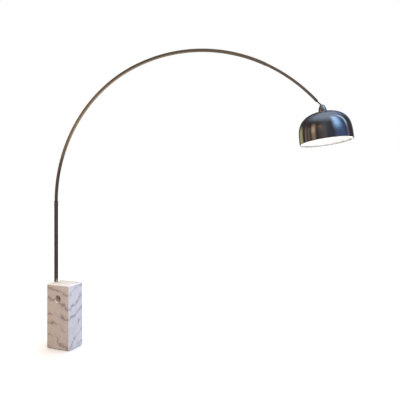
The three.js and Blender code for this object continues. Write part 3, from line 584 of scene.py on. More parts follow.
def evaluated_mesh(holder, name):
    """The holder's result as a plain mesh, with its modifiers used up."""
    graph = bpy.context.evaluated_depsgraph_get()
    mesh = bpy.data.meshes.new_from_object(holder.evaluated_get(graph), preserve_all_data_layers=True, depsgraph=graph)
    mesh.name = name
    bpy.data.objects.remove(holder)
    return mesh


def scratch_object(name, mesh):
    holder = bpy.data.objects.new(name, mesh)
    bpy.context.scene.collection.objects.link(holder)
    return holder


def boolean_cut(mesh, cutter_bm, name):
    """A mesh less the solids of a bmesh."""
    tool_mesh = bpy.data.meshes.new(name + "_tool")
    cutter_bm.to_mesh(tool_mesh)
    cutter_bm.free()
    tool = scratch_object(name + "_tool", tool_mesh)
    holder = scratch_object(name + "_holder", mesh)
    modifier = holder.modifiers.new("cut", "BOOLEAN")
    modifier.operation = "DIFFERENCE"
    modifier.solver = "EXACT"
    modifier.use_self = True
    modifier.object = tool
    cut = evaluated_mesh(holder, name)
    bpy.data.objects.remove(tool)
    return cut


# ---- Foot ----


class ARCLAMP_OT_foot(bpy.types.Operator):
    """Marble block with its lifting hole, stem socket and nut recess"""

    bl_idname = "arclamp.foot"
    bl_label = "Foot"

    def execute(self, context):
        size = sizes()
        low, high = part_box("marble_base")
        stem = middle("stem_tube")
        bm = bmesh.new()
        cuboid(bm, (low + high) / 2, high - low)
        for offset, steps in ((size.edge_chamfer, 1), (size.edge_chamfer * 0.12, 3)):
            bmesh.ops.bevel(bm, geom=bm.edges[:], offset=offset, segments=steps, profile=0.5, affect="EDGES")
        block = mesh_from(bm, "marble_block", [finish("marble")])
        tools = bmesh.new()
        self.lift_hole(tools, size, high.z - size.lift_drop, high.y)
        socket = size.stem_width + 2 * GAP
        floor_of_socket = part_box("stem_foot_plug")[0].z - GAP
        height = high.z + 0.01 - floor_of_socket
        cuboid(tools, (stem.x, stem.y, floor_of_socket + height / 2), (socket, socket, height))
        upright = Matrix.Translation((stem.x, stem.y, 0))
        recess_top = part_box("tie_rod_washer")[1].z + GAP
        rod_bore, recess_radius = 0.0063, 0.022
        cylinder(tools, rod_bore, recess_top - 0.001, floor_of_socket + 0.001, 32, upright)
        cylinder(tools, recess_radius, low.z - 0.01, recess_top, 64, upright)
        stone = boolean_cut(block, tools, "marble_block_cut")
        smooth(stone, 24.0)
        self.mark_painted_light(stone, size, high.z - size.lift_drop)
        new_piece("stone_block", stone, "stand", ["marble_base"])
        return {"FINISHED"}

    def mark_painted_light(self, stone, size, height):
        """Marks the chamfers and the top face for a painted highlight, and the lifting hole's wall for a painted warm
        shade.
        """
        edges = stone.attributes.new("painted_edge_highlight", "FLOAT", "FACE")
        bore = stone.attributes.new("painted_bore_shade", "FLOAT", "FACE")
        for face in stone.polygons:
            way = [abs(c) for c in face.normal]
            near_hole = math.hypot(face.center.x, face.center.z - height) < 1.2 * size.lift_radius
            in_hole = way[1] < 0.1 and near_hole
            # Painted shade: a warm, darker tint on the lifting hole's wall.
            bore.data[face.index].value = float(in_hole)
            # Painted highlight: full on the chamfers, 0.8 of it on the top face.
            edges.data[face.index].value = float(max(way) < 0.98 and not in_hole) or 0.8 * (face.normal.z > 0.98)

    def lift_hole(self, tools, size, height, half_depth):
        """A round hole through the wide faces, its mouths eased like the block's edges."""
        ease, radius = size.mouth_chamfer, size.lift_radius
        waist = rounded([(radius, 0.0), (radius, half_depth - ease), (radius + 2 * ease, half_depth + ease)], 0.0015)
        upper = waist[1:] + [(0.0, half_depth + ease)]
        outline = [(r, -z) for r, z in reversed(upper)] + upper
        turn = Matrix.Translation((0, 0, height)) @ Matrix.Rotation(math.pi / 2, 4, "X")
        lay(tools, turn_profile(outline, 72), turn)


# ---- Mast ----


def geometry_tree(name, inputs):
    tree = bpy.data.node_groups.new(name, "GeometryNodeTree")
    tree.interface.new_socket("Geometry", in_out="INPUT", socket_type="NodeSocketGeometry")
    tree.interface.new_socket("Geometry", in_out="OUTPUT", socket_type="NodeSocketGeometry")
    for label, kind in inputs:
        tree.interface.new_socket(label, in_out="INPUT", socket_type=kind)
    return tree, tree.nodes.new("NodeGroupInput").outputs, tree.nodes.new("NodeGroupOutput").inputs


def tree_modifier(holder, tree, values):
    """Puts a tree on an object and sets its inputs by their identifiers."""
    modifier = holder.modifiers.new(tree.name, "NODES")
    modifier.node_group = tree
    names = {item.name: item.identifier for item in tree.interface.items_tree if item.in_out == "INPUT"}
    for label, value in values.items():
        modifier[names[label]] = value
    return modifier


def named_value(tree, name, kind="FLOAT"):
    return add_node(tree, "GeometryNodeInputNamedAttribute", {"Name": name}, data_type=kind).outputs["Attribute"]


def stored(tree, geometry, name, value, kind="FLOAT"):
    """The geometry with a value kept on its points under a name."""
    inputs = {"Geometry": geometry, "Name": name, "Value": value}
    made = add_node(tree, "GeometryNodeStoreNamedAttribute", inputs, data_type=kind, domain="POINT")
    return made.outputs["Geometry"]


def painted(tree, geometry, material, selection=None):
    inputs = {"Geometry": geometry, "Material": material, "Selection": selection}
    return add_node(tree, "GeometryNodeSetMaterial", inputs).outputs["Geometry"]


def stood_on(tree, points, instance, rotation):
    inputs = {"Points": points, "Instance": instance, "Rotation": rotation}
    return add_node(tree, "GeometryNodeInstanceOnPoints", inputs).outputs["Instances"]


def mast_tube_tree():
    """A square tube swept along the mast: straight up, then a tighter arc, then a wider one."""
    numbers = [
        "From", "To", "Width", "Corner", "Stem X", "Arc Start", "Rear Radius", "Front Radius", "Rear Sweep",
    ]
    sockets = [(label, NUMBER) for label in numbers] + [("Steps", COUNT), ("Material", MATERIAL)]
    tree, given, out = geometry_tree("mast_tube", sockets)
    line = add_node(tree, "GeometryNodeCurvePrimitiveLine").outputs["Curve"]
    line = add_node(tree, "GeometryNodeResampleCurve", {"Curve": line, "Count": given["Steps"]}).outputs["Curve"]
    share = add_node(tree, "GeometryNodeSplineParameter").outputs["Factor"]
    reach = maths(tree, "SUBTRACT", given["To"], given["From"])
    run = maths(tree, "MULTIPLY_ADD", share, reach, given["From"])
    rear_run = maths(tree, "MULTIPLY", given["Rear Radius"], given["Rear Sweep"])
    straight = maths(tree, "MINIMUM", run, 0.0)
    on_rear = maths(tree, "MINIMUM", maths(tree, "MAXIMUM", run, 0.0), rear_run)
    on_front = maths(tree, "MAXIMUM", maths(tree, "SUBTRACT", run, rear_run), 0.0)
    rear = maths(tree, "DIVIDE", on_rear, given["Rear Radius"])
    lean = maths(tree, "ADD", rear, maths(tree, "DIVIDE", on_front, given["Front Radius"]))
    cos_rear, sin_rear = maths(tree, "COSINE", rear), maths(tree, "SINE", rear)
    cos_lean, sin_lean = maths(tree, "COSINE", lean), maths(tree, "SINE", lean)
    x = maths(tree, "MULTIPLY_ADD", maths(tree, "SUBTRACT", 1.0, cos_rear), given["Rear Radius"], given["Stem X"])
    x = maths(tree, "MULTIPLY_ADD", maths(tree, "SUBTRACT", cos_rear, cos_lean), given["Front Radius"], x)
    z = maths(tree, "ADD", given["Arc Start"], straight)
    z = maths(tree, "MULTIPLY_ADD", sin_rear, given["Rear Radius"], z)
    z = maths(tree, "MULTIPLY_ADD", maths(tree, "SUBTRACT", sin_lean, sin_rear), given["Front Radius"], z)
    place = add_node(tree, "ShaderNodeCombineXYZ", {"X": x, "Z": z}).outputs["Vector"]
    path = add_node(tree, "GeometryNodeSetPosition", {"Geometry": line, "Position": place}).outputs["Geometry"]
    path = add_node(tree, "GeometryNodeSetCurveNormal", {"Curve": path, "Normal": (0, 1, 0)}, mode="FREE")
    path = stored(tree, path.outputs["Curve"], "run", run)
    way = add_node(tree, "ShaderNodeCombineXYZ", {"X": sin_lean, "Z": cos_lean}).outputs["Vector"]
    path = stored(tree, path, "tube_way", way, "FLOAT_VECTOR")
    sides = {"Width": given["Width"], "Height": given["Width"]}
    square = add_node(tree, "GeometryNodeCurvePrimitiveQuadrilateral", sides, mode="RECTANGLE").outputs["Curve"]
    corners = {"Curve": square, "Count": 4, "Radius": given["Corner"]}
    section = add_node(tree, "GeometryNodeFilletCurve", corners, mode="POLY").outputs["Curve"]
    girth = add_node(tree, "GeometryNodeSplineParameter").outputs["Length"]
    section = stored(tree, section, "girth", girth)
    tube = add_node(tree, "GeometryNodeCurveToMesh", {"Curve": path, "Profile Curve": section}).outputs["Mesh"]
    both = {"X": named_value(tree, "run"), "Y": named_value(tree, "girth")}
    tube_place = add_node(tree, "ShaderNodeCombineXYZ", both).outputs["Vector"]
    tube = stored(tree, tube, "tube_place", tube_place, "FLOAT_VECTOR")
    tube = add_node(tree, "GeometryNodeSetShadeSmooth", {"Geometry": tube}).outputs["Geometry"]
    tube = add_node(tree, "GeometryNodeRealizeInstances", {"Geometry": tube}).outputs["Geometry"]
    tree.links.new(painted(tree, tube, given["Material"]), out["Geometry"])
    return tree


def run_at(lean):
    """Length along the arc to where the mast has a lean."""
    size = sizes()
    if lean <= size.rear_sweep:
        return size.rear_radius * lean
    return size.rear_radius * size.rear_sweep + size.front_radius * (lean - size.rear_sweep)


def mast_place(run):
    """A point on the mast's centre line and the way that the line goes there."""
    size = sizes()
    rear = min(max(run, 0.0) / size.rear_radius, size.rear_sweep)
    lean = rear + max(run - size.rear_radius * size.rear_sweep, 0.0) / size.front_radius
    x = size.rear_radius * (1 - math.cos(rear)) + size.front_radius * (math.cos(rear) - math.cos(lean))
    z = size.rear_radius * math.sin(rear) + size.front_radius * (math.sin(lean) - math.sin(rear))
    start = Vector((middle("stem_tube").x, 0, size.arc_start + min(run, 0.0)))
    return start + Vector((x, 0, z)), Vector((math.sin(lean), 0, math.cos(lean)))


class ARCLAMP_OT_mast(bpy.types.Operator):
    """Square tubes of the stem, the arc and the sliding end, swept along the mast's line"""

    bl_idname = "arclamp.mast"
    bl_label = "Mast tubes"

    def execute(self, context):
        size = sizes()
        tree = mast_tube_tree()
        stem_low, stem_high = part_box("stem_tube")
        seam = run_at(size.seam_lean)
        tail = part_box("arc_lower_tube")[0].z
        stem, arc, end = (
            (size.stem_width, size.stem_wall), (size.arc_width, size.arc_wall), (size.end_width, size.arc_wall),
        )
        tubes = [
            ("stem", "stand", stem, stem_low.z - size.arc_start, stem_high.z - size.arc_start),
            ("arc_lower", "stand", arc, tail - size.arc_start, seam - GAP),
            ("arc_upper", "stand", arc, seam + GAP, run_at(size.outer_lean)),
            ("arc_end", "mast_end", end, run_at(size.inner_lean), run_at(size.end_lean)),
        ]
        for name, body, (width, wall), start, stop in tubes:
            holder = scratch_object(name, bpy.data.meshes.new(name))
            tree_modifier(holder, tree, {
                "From": start, "To": stop, "Width": width, "Corner": size.tube_corner,
                "Stem X": middle("stem_tube").x, "Arc Start": size.arc_start, "Rear Radius": size.rear_radius,
                "Front Radius": size.front_radius, "Rear Sweep": size.rear_sweep,
                "Steps": max(int((stop - start) / TUBE_STEP), 2), "Material": finish("mast_steel"),
            })
            skin = evaluated_mesh(holder, name + "_skin")
            new_piece(name, self.hollow(skin, name, wall), body, [name + "_tube"])
        return {"FINISHED"}

    def hollow(self, skin, name, wall):
        """Gives the swept skin its wall, and shades its flats flat and its corners round."""
        probe = len(skin.vertices) // 2
        centre, _ = mast_place(skin.attributes["tube_place"].data[probe].vector.x)
        vertex = skin.vertices[probe]
        if (vertex.co - centre).dot(vertex.normal) < 0:
            skin.flip_normals()
        holder = scratch_object(name + "_hollow", skin)
        solid = holder.modifiers.new("wall", "SOLIDIFY")
        solid.thickness = wall
        solid.offset = -1.0
        solid.use_even_offset = True
        tube = evaluated_mesh(holder, name + "_walled")
        smooth(tube)
        holder = scratch_object(name + "_shaded", tube)
        weighted = holder.modifiers.new("flat_faces", "WEIGHTED_NORMAL")
        weighted.keep_sharp = True
        return evaluated_mesh(holder, name)


# ---- Screws ----


def run_near(point):
    """Length along the mast's line to the place nearest a point."""
    size = sizes()
    if point.z < size.arc_start:
        return point.z - size.arc_start
    rear_centre = Vector((middle("stem_tube").x + size.rear_radius, 0, size.arc_start))
    lean = math.atan2(point.z - rear_centre.z, rear_centre.x - point.x)
    if lean > size.rear_sweep:
        lean = math.atan2(point.z - ARC_CENTRE.z, ARC_CENTRE.x - point.x)
    return run_at(lean)


def button_screw_mesh():
    """A screw with a domed head and a six-sided socket, its head standing on Z = 0."""
    radius, height, rim, shank, depth, socket = 0.0045, 0.0026, 0.0009, 0.0025, 0.0022, 0.0017
    angles = (math.radians(82 * i / 8) for i in range(9))
    dome = [(radius * math.cos(a), rim + (height - rim) * math.sin(a)) for a in angles]
    outline = [(0.0, -depth), (shank - 0.0004, -depth), (shank, 0.0004 - depth), (shank, GAP)]
    outline += [(radius - 0.0002, GAP), (radius, GAP + 0.0002)] + dome + [(0.0, dome[-1][1])]
    bm = turn_profile(outline, 40)
    head = mesh_from(bm, "button_screw", [])
    tools = bmesh.new()
    cylinder(tools, socket, height - 0.0015, height + 0.001, 6, Matrix.Identity(4))
    cut = boolean_cut(head, tools, "button_screw_cut")
    smooth(cut, 32.0)
    return cut


def screw_tree():
    """Stands one screw on each point of a mesh, turned to the way that its face looks."""
    tree, given, out = geometry_tree("screws_on_mast", [("Screw", "NodeSocketObject"), ("Material", MATERIAL)])
    points = add_node(tree, "GeometryNodeMeshToPoints", {"Mesh": given["Geometry"]}).outputs["Points"]
    aim = named_value(tree, "aim", "FLOAT_VECTOR")
    turned = add_node(tree, "FunctionNodeAlignRotationToVector", {"Vector": aim}, axis="Z").outputs["Rotation"]
    screw = add_node(tree, "GeometryNodeObjectInfo", {"Object": given["Screw"]}).outputs["Geometry"]
    screws = stood_on(tree, points, screw, turned)
    solid = add_node(tree, "GeometryNodeRealizeInstances", {"Geometry": screws}).outputs["Geometry"]
    tree.links.new(painted(tree, solid, given["Material"]), out["Geometry"])
    return tree


class ARCLAMP_OT_screws(bpy.types.Operator):
    """Button-headed socket screws of the stem and the arc"""

    bl_idname = "arclamp.screws"
    bl_label = "Screws"

    def execute(self, context):
        size = sizes()
        tree = screw_tree()
        screw = scratch_object("button_screw_model", button_screw_mesh())
        groups = [
            ("stem_screws", "dark_steel", size.stem_width, ["stem_screw_1", "stem_screw_2"]),
            ("arc_screws", "hardware", size.arc_width,
             ["coupling_screw_lower", "coupling_screw_upper", "extension_screw"]),
        ]
        for name, slot, width, nodes in groups:
            spots = bpy.data.meshes.new(name + "_spots")
            places = [self.face_place(node, width) for node in nodes]
            spots.from_pydata([place for place, _ in places], [], [])
            aim = spots.attributes.new("aim", "FLOAT_VECTOR", "POINT")
            aim.data.foreach_set("vector", [value for _, face in places for value in face])
            holder = scratch_object(name + "_holder", spots)
            tree_modifier(holder, tree, {"Screw": screw, "Material": finish(slot)})
            new_piece(name, evaluated_mesh(holder, name), "stand", nodes)
        bpy.data.objects.remove(screw)
        return {"FINISHED"}

    def face_place(self, node, width):
        """Where a screw of the frame stands on its tube's face, and the way it looks."""
        centre, along = mast_place(run_near(middle(node)))
        across = Vector((-along.z, 0, along.x))
        side = math.copysign(1, (middle(node) - centre).dot(across))
        return centre + across * side * width / 2, across * side


# ---- Mast end and knuckle ----


def sweep_round(bm, points, radius, bore, segments):
    """A round tube along points that lie in the plane Y = 0."""
    rings = {radius: [], bore: []}
    for i, point in enumerate(points):
        along = (points[min(i + 1, len(points) - 1)] - points[max(i - 1, 0)]).normalized()
        across = Vector((-along.z, 0, along.x))
        for reach, made in rings.items():
            turns = (FULL_TURN * k / segments for k in range(segments))
            ring = (across * math.cos(t) + Vector((0, math.sin(t), 0)) for t in turns)
            made.append([bm.verts.new(point + reach * way) for way in ring])
    outer, inner = rings[radius], rings[bore]
    strips = list(zip(outer, outer[1:])) + [(b, a) for a, b in zip(inner, inner[1:])]
    strips += [(inner[0], outer[0]), (outer[-1], inner[-1])]
    for first, second in strips:
        for k in range(segments):
            n = (k + 1) % segments
            bm.faces.new([first[k], first[n], second[n], second[k]])


def ring_outline(bore, radius, low, high, ease):
    return closed_round([(bore, low), (bore, high), (radius, high), (radius, low)], ease)


def towards(place, direction):
    """Matrix that stands a solid made along +Z on a place, looking along a direction."""
    return Matrix.Translation(place) @ direction.to_track_quat("Z", "Y").to_matrix().to_4x4()


class ARCLAMP_OT_mast_end(bpy.types.Operator):
    """Bent pivot tube with its collar and eye, and the stem's cable grommet"""

    bl_idname = "arclamp.mast_end"
    bl_label = "Mast end and grommet"

    def execute(self, context):
        size = sizes()
        end, along = mast_place(run_at(size.end_lean))
        self.pivot_rod(end, along)
        self.grommet(size)
        return {"FINISHED"}

    def pivot_rod(self, end, along):
        inside, straight, bend, eye_space = 0.024, 0.0063, 0.0232, 0.0038
        knee = end + along * bend
        away = (PIVOT - knee).normalized()
        bend_from, bend_to = end + along * straight, PIVOT - away * eye_space
        path = [end - along * inside, end - along * inside / 2, end]
        for i in range(25):
            t = i / 24
            path.append(bend_from * (1 - t) ** 2 + knee * 2 * t * (1 - t) + bend_to * t ** 2)
        bm = bmesh.new()
        sweep_round(bm, path, 0.0045, 0.003, 32)
        collar = ring_outline(0.0035, 0.0066, 0.0036, 0.0063, 0.0007)
        lay(bm, turn_profile(collar, 48), towards(end, along))
        eye = ring_outline(0.0028, 0.0064, -0.0048, 0.0048, 0.0006)
        lay(bm, turn_profile(eye, 48), Matrix.Translation(PIVOT) @ Matrix.Rotation(math.pi / 2, 4, "X"))
        bmesh.ops.recalc_face_normals(bm, faces=bm.faces)
        mesh = mesh_from(bm, "bent_pivot_rod", [finish("dark_steel")])
        smooth(mesh)
        new_piece("bent_pivot_rod", mesh, "mast_end", ["pivot_rod"])

    def grommet(self, size):
        low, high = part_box("cable_grommet")
        place = Vector((middle("stem_tube").x - size.stem_width / 2, 0, (low.z + high.z) / 2))
        hole, neck, lip, flange, proud = 0.0033, 0.0057, 0.0072, 0.009, 0.0024
        back = -size.stem_wall - GAP
        outline = [
            (hole, back - 0.0015), (lip, back - 0.0015), (lip, back), (neck, back), (neck, GAP), (flange, GAP),
            (flange, proud - 0.0006), (flange - 0.0012, proud), (hole + 0.001, proud), (hole, proud - 0.001),
        ]
        bm = turn_profile(closed_round(outline, 0.0006), 56)
        bm.transform(towards(place, Vector((-1, 0, 0))))
        mesh = mesh_from(bm, "round_grommet", [finish("rubber")])
        smooth(mesh)
        new_piece("round_grommet", mesh, "stand", ["cable_grommet"])


# ---- Shade, built in the head's own frame with its origin at the pivot ----


def shade_height(radius):
    """Outer height of the shade over its rim, at a radius."""
    size = sizes()
    return size.shade_height * (1 - (radius / size.shade_radius) ** ACROSS_POWER) ** (1 / UP_POWER)


def shade_place(radius):
    return radius, shade_height(radius) - sizes().pivot_height


def bowl_side(steps):
    """The bowl's outer outline, from the cap's edge down to the rim."""
    size = sizes()
    first = math.acos((size.cap_radius / size.shade_radius) ** (ACROSS_POWER / 2))
    last = 0.05
    points = []
    for i in range(steps + 1):
        angle = first + (last - first) * i / steps
        radius = size.shade_radius * math.cos(angle) ** (2 / ACROSS_POWER)
        points.append((radius, size.shade_height * math.sin(angle) ** (2 / UP_POWER) - size.pivot_height))
    return points


def perforation_row_tree():
    """One ring of drills, each square to the cap's surface."""
    numbers = [(label, NUMBER) for label in ("Radius", "Height", "Slope", "Shift", "Hole Radius", "Depth")]
    tree, given, out = geometry_tree("perforation_row", numbers + [("Holes", COUNT)])
    index = add_node(tree, "GeometryNodeInputIndex").outputs["Index"]
    share = maths(tree, "DIVIDE", maths(tree, "ADD", index, given["Shift"]), given["Holes"])
    turn = maths(tree, "MULTIPLY", share, FULL_TURN)
    place = add_node(tree, "ShaderNodeCombineXYZ", {
        "X": maths(tree, "MULTIPLY", maths(tree, "COSINE", turn), given["Radius"]),
        "Y": maths(tree, "MULTIPLY", maths(tree, "SINE", turn), given["Radius"]),
        "Z": given["Height"],
    }).outputs["Vector"]
    points = add_node(tree, "GeometryNodePoints", {"Count": given["Holes"], "Position": place}).outputs["Points"]
    sizes_of_drill = {"Vertices": 28, "Radius": given["Hole Radius"], "Depth": given["Depth"]}
    drill = add_node(tree, "GeometryNodeMeshCylinder", sizes_of_drill).outputs["Mesh"]
    euler = add_node(tree, "ShaderNodeCombineXYZ", {"Y": given["Slope"], "Z": turn}).outputs["Vector"]
    aimed = add_node(tree, "FunctionNodeEulerToRotation", {"Euler": euler}).outputs["Rotation"]
    tree.links.new(stood_on(tree, points, drill, aimed), out["Geometry"])
    return tree


def perforation_tree():
    """Drills the cap: four rings of holes, staggered from ring to ring."""
    row_tree = perforation_row_tree()
    sockets = [("Hole Radius", NUMBER), ("Depth", NUMBER), ("Holes", COUNT)]
    tree, given, out = geometry_tree("perforated_cap", sockets + [("Outside", MATERIAL), ("Inside", MATERIAL)])
    join = tree.nodes.new("GeometryNodeJoinGeometry")
    row_radii, step = (0.044, 0.061, 0.078, 0.095), 0.001
    for row, radius in enumerate(row_radii):
        slope = math.atan((shade_height(radius - step) - shade_height(radius + step)) / (2 * step))
        inputs = {label: given[label] for label in ("Hole Radius", "Depth", "Holes")}
        inputs.update({"Radius": radius, "Height": shade_place(radius)[1], "Slope": slope})
        inputs["Shift"] = (row % 2) / 2 + 0.25
        ring = add_node(tree, "GeometryNodeGroup", inputs, node_tree=row_tree)
        tree.links.new(ring.outputs["Geometry"], join.inputs["Geometry"])
    drills = add_node(tree, "GeometryNodeRealizeInstances", {"Geometry": join.outputs["Geometry"]}).outputs["Geometry"]
    cutting = {"Mesh 1": given["Geometry"], "Mesh 2": drills}
    drilled = add_node(tree, "GeometryNodeMeshBoolean", cutting, operation="DIFFERENCE").outputs["Mesh"]
    slot = add_node(tree, "GeometryNodeInputMaterialIndex").outputs["Material Index"]
    lined = add_node(tree, "FunctionNodeCompare", {"A": slot, "B": 0.5}, operation="GREATER_THAN").outputs["Result"]
    bare = add_node(tree, "FunctionNodeBooleanMath", {0: lined}, operation="NOT").outputs["Boolean"]
    inside = painted(tree, drilled, given["Inside"], lined)
    tree.links.new(painted(tree, inside, given["Outside"], bare), out["Geometry"])
    return tree


class ARCLAMP_OT_shade(bpy.types.Operator):
    """Spun bowl with its rolled rim, and the perforated cap that closes it at the top"""

    bl_idname = "arclamp.shade"
    bl_label = "Shade"

    def execute(self, context):
        size = sizes()
        self.bowl(size)
        self.cap(size)
        return {"FINISHED"}

    def bowl(self, size):
        side = bowl_side(56)
        rim = -size.pivot_height
        roll = 0.0013
        bead = arc_points((size.shade_radius - 0.0005, rim + roll), roll, 62, -190, 16)
        within = list(reversed(inset(side, size.shade_wall)))
        share = size.bare_lip / (within[0][1] - bead[-1][1])
        lip = tuple(a + share * (b - a) for a, b in zip(bead[-1], within[0]))
        outline = side + bead + [lip] + within
        lining_from = len(side) + len(bead)
        bm = turn_profile(outline, 192, lining_from, len(outline) - 1)
        mesh = mesh_from(bm, "spun_bowl", [finish("shade_metal"), finish("shade_lining")], HEAD)
        smooth(mesh, 50.0)
        new_piece("spun_bowl", mesh, "shade_head", ["reflector_bowl"])

    def cap(self, size):
        crown_hole, seat, flat, edge_ease, lap, felt = 0.0198, 0.023, CROWN_FLAT, 0.0015, 0.013, 0.0008
        crown = shade_place(flat)[1]
        steps, lap_steps = 30, 6
        radii = [flat + (size.cap_radius - edge_ease - flat) * i / steps for i in range(steps + 1)]
        skirt = [shade_place(size.cap_radius + lap * i / lap_steps) for i in range(lap_steps + 1)]
        skirt = inset(skirt, size.shade_wall + felt + 2 * GAP)
        outer = [(crown_hole, crown), (seat, crown)] + [shade_place(r) for r in radii] + skirt
        inner = [(r, z - size.shade_wall) for r, z in reversed(outer)]
        bm = turn_profile(outer + inner, 144, len(outer), len(outer) + len(inner) - 1)
        solid = mesh_from(bm, "cap_solid", [finish("shade_metal"), finish("shade_lining")], None)
        holder = scratch_object("perforated_cap_holder", solid)
        tree_modifier(holder, perforation_tree(), {
            "Hole Radius": size.hole_radius, "Depth": 0.01, "Holes": size.holes_per_row,
            "Outside": finish("shade_metal"), "Inside": finish("shade_lining"),
        })
        mesh = evaluated_mesh(holder, "perforated_cap")
        mesh.transform(HEAD)
        smooth(mesh, 30.0)
        new_piece("perforated_cap", mesh, "shade_head", ["shade_cap"])


# ---- Lampholder and bulb ----


def smooth_line(points, steps=6):
    """A round line through points, by Catmull and Rom's rule."""
    ends = [points[0]] + list(points) + [points[-1]]
    line = []
    for i in range(len(points) - 1):
        a, b, c, d = (Vector(p) for p in ends[i:i + 4])
        for k in range(steps):
            t = k / steps
            square, cube = 2 * a - 5 * b + 4 * c - d, 3 * b - a - 3 * c + d
            line.append(tuple(0.5 * (2 * b + (c - a) * t + square * t ** 2 + cube * t ** 3)))
    return line + [tuple(points[-1])]


class ARCLAMP_OT_lampholder(bpy.types.Operator):
    """Chromed bell, the lampholder's body and ring, and the globe bulb"""

    bl_idname = "arclamp.lampholder"
    bl_label = "Lampholder and bulb"

    def execute(self, context):
        size = sizes()
        crown = shade_place(CROWN_FLAT)[1]
        self.bell(crown)
        self.holder(crown, size)
        self.bulb()
        return {"FINISHED"}

    def turned_piece(self, name, outline, segments, slot, node, sharp=35.0):
        mesh = mesh_from(turn_profile(outline, segments), name, [finish(slot)], HEAD)
        smooth(mesh, sharp)
        new_piece(name, mesh, "shade_head", [node])

    def bell(self, crown):
        wall = 0.0012
        mouth = [(0.014, 0.003), (0.016, 0.0), (0.0199, -0.0085)]
        skirt = [(0.0235, -0.018), (0.0256, -0.025), (0.0265, -0.032)]
        line = smooth_line(mouth + skirt, 8) + [(skirt[-1][0], crown + GAP)]
        within = list(reversed(inset(line, wall)))
        lip = [(within[-1][0] + wall * 0.25, line[0][1] + 0.0001), (line[0][0] - wall * 0.2, line[0][1] + 0.0002)]
        self.turned_piece("polished_bell", line + within + lip, 96, "chrome", "holder_bell", 50.0)

    def holder(self, crown, size):
        foot, web, flange = crown - 0.05, crown - 0.01, crown + GAP
        wire, room, socket, outside, seat = 0.0039, 0.015, 0.0149, 0.0195, 0.024
        body = [
            (wire, web), (room, web), (room, flange + 0.0025), (seat, flange + 0.0025), (seat, flange),
            (outside, flange), (outside, foot), (socket, foot), (socket, web - 0.004), (wire, web - 0.004),
        ]
        self.turned_piece("glazed_holder", closed_round(body, 0.0008), 72, "porcelain", "holder_body")
        bore, rim, top = 0.0198, 0.026, crown - size.shade_wall - GAP
        grip = [(bore, top - 0.006), (seat, top - 0.006), (rim, top - 0.004), (rim, top), (bore, top)]
        self.turned_piece("glazed_ring", closed_round(grip, 0.0009), 72, "porcelain", "shade_ring")

    def bulb(self):
        radius, neck, wall, height = 0.03, 0.0124, 0.001, 0.092
        centre = (HEAD.inverted() @ middle("bulb_glass")).z - height / 2 + radius
        top = centre + height - radius
        shoulder = [(neck, top - 0.018), (neck + 0.0011, top - 0.0225), (neck + 0.0036, top - 0.028)]
        ball = arc_points((0.0, centre), radius, 48, -90, 40)
        outline = [(neck, top), (neck, top - 0.009)] + smooth_line(shoulder + [ball[0]], 5)[:-1]
        outline += ball[:-1] + [(0.0, centre - radius)]
        within = list(reversed(inset(outline, wall)))
        self.turned_piece("globe_bulb", outline + within, 96, "opal_glass", "bulb_glass", 50.0)


# ---- Finishes of the frame's own pieces ----


class ARCLAMP_OT_finishes(bpy.types.Operator):
    """Finishes for the frame's pieces that show as they are"""

    bl_idname = "arclamp.finishes"
    bl_label = "Finishes of the small parts"

    def execute(self, context):
        slots = {
            "felt": ["floor_pad", "shade_seat_ring"],
            "hardware": [
                "stem_foot_plug", "tie_rod_washer", "tie_rod_nut", "tie_rod", "arc_coupling",
                "pivot_rod_nut", "nipple_nut",
            ],
            "dark_steel": ["mast_end_plug", "knuckle_fork"],
            "nylon": ["end_tube_slider", "knuckle_washer_near", "knuckle_washer_far"],
            "rubber": ["supply_cable", "head_cable"],
            "chrome": ["knuckle_nut", "knuckle_screw"],
            "porcelain": ["holder_cap"],
            "brass": ["holder_shell", "centre_contact", "bulb_tip", "bulb_cap"],
        }
        for slot, nodes in slots.items():
            for node in nodes:
                for place in frame["nodes"][node].material_slots:
                    place.material = finish(slot)
        return {"FINISHED"}


# ---- Stage ----


def panel_of_light(tree, parts, azimuth, half_width, edge, low, low_edge, high, high_edge, tint):
    """A soft upright panel seen in polished metal: its colour times a mask over directions."""
    away = maths(tree, "ABSOLUTE", maths(tree, "SUBTRACT", parts["azimuth"], math.radians(azimuth)))
    across = smooth_step(tree, away, math.radians(half_width), math.radians(half_width + edge), 1.0, 0.0)
    above = smooth_step(tree, parts["height"], low - low_edge, low + low_edge)
    below = smooth_step(tree, parts["height"], high - high_edge, high + high_edge, 1.0, 0.0)
    mask = maths(tree, "MULTIPLY", across, maths(tree, "MULTIPLY", above, below))
    return vector_maths(tree, "SCALE", tint, scale=mask)


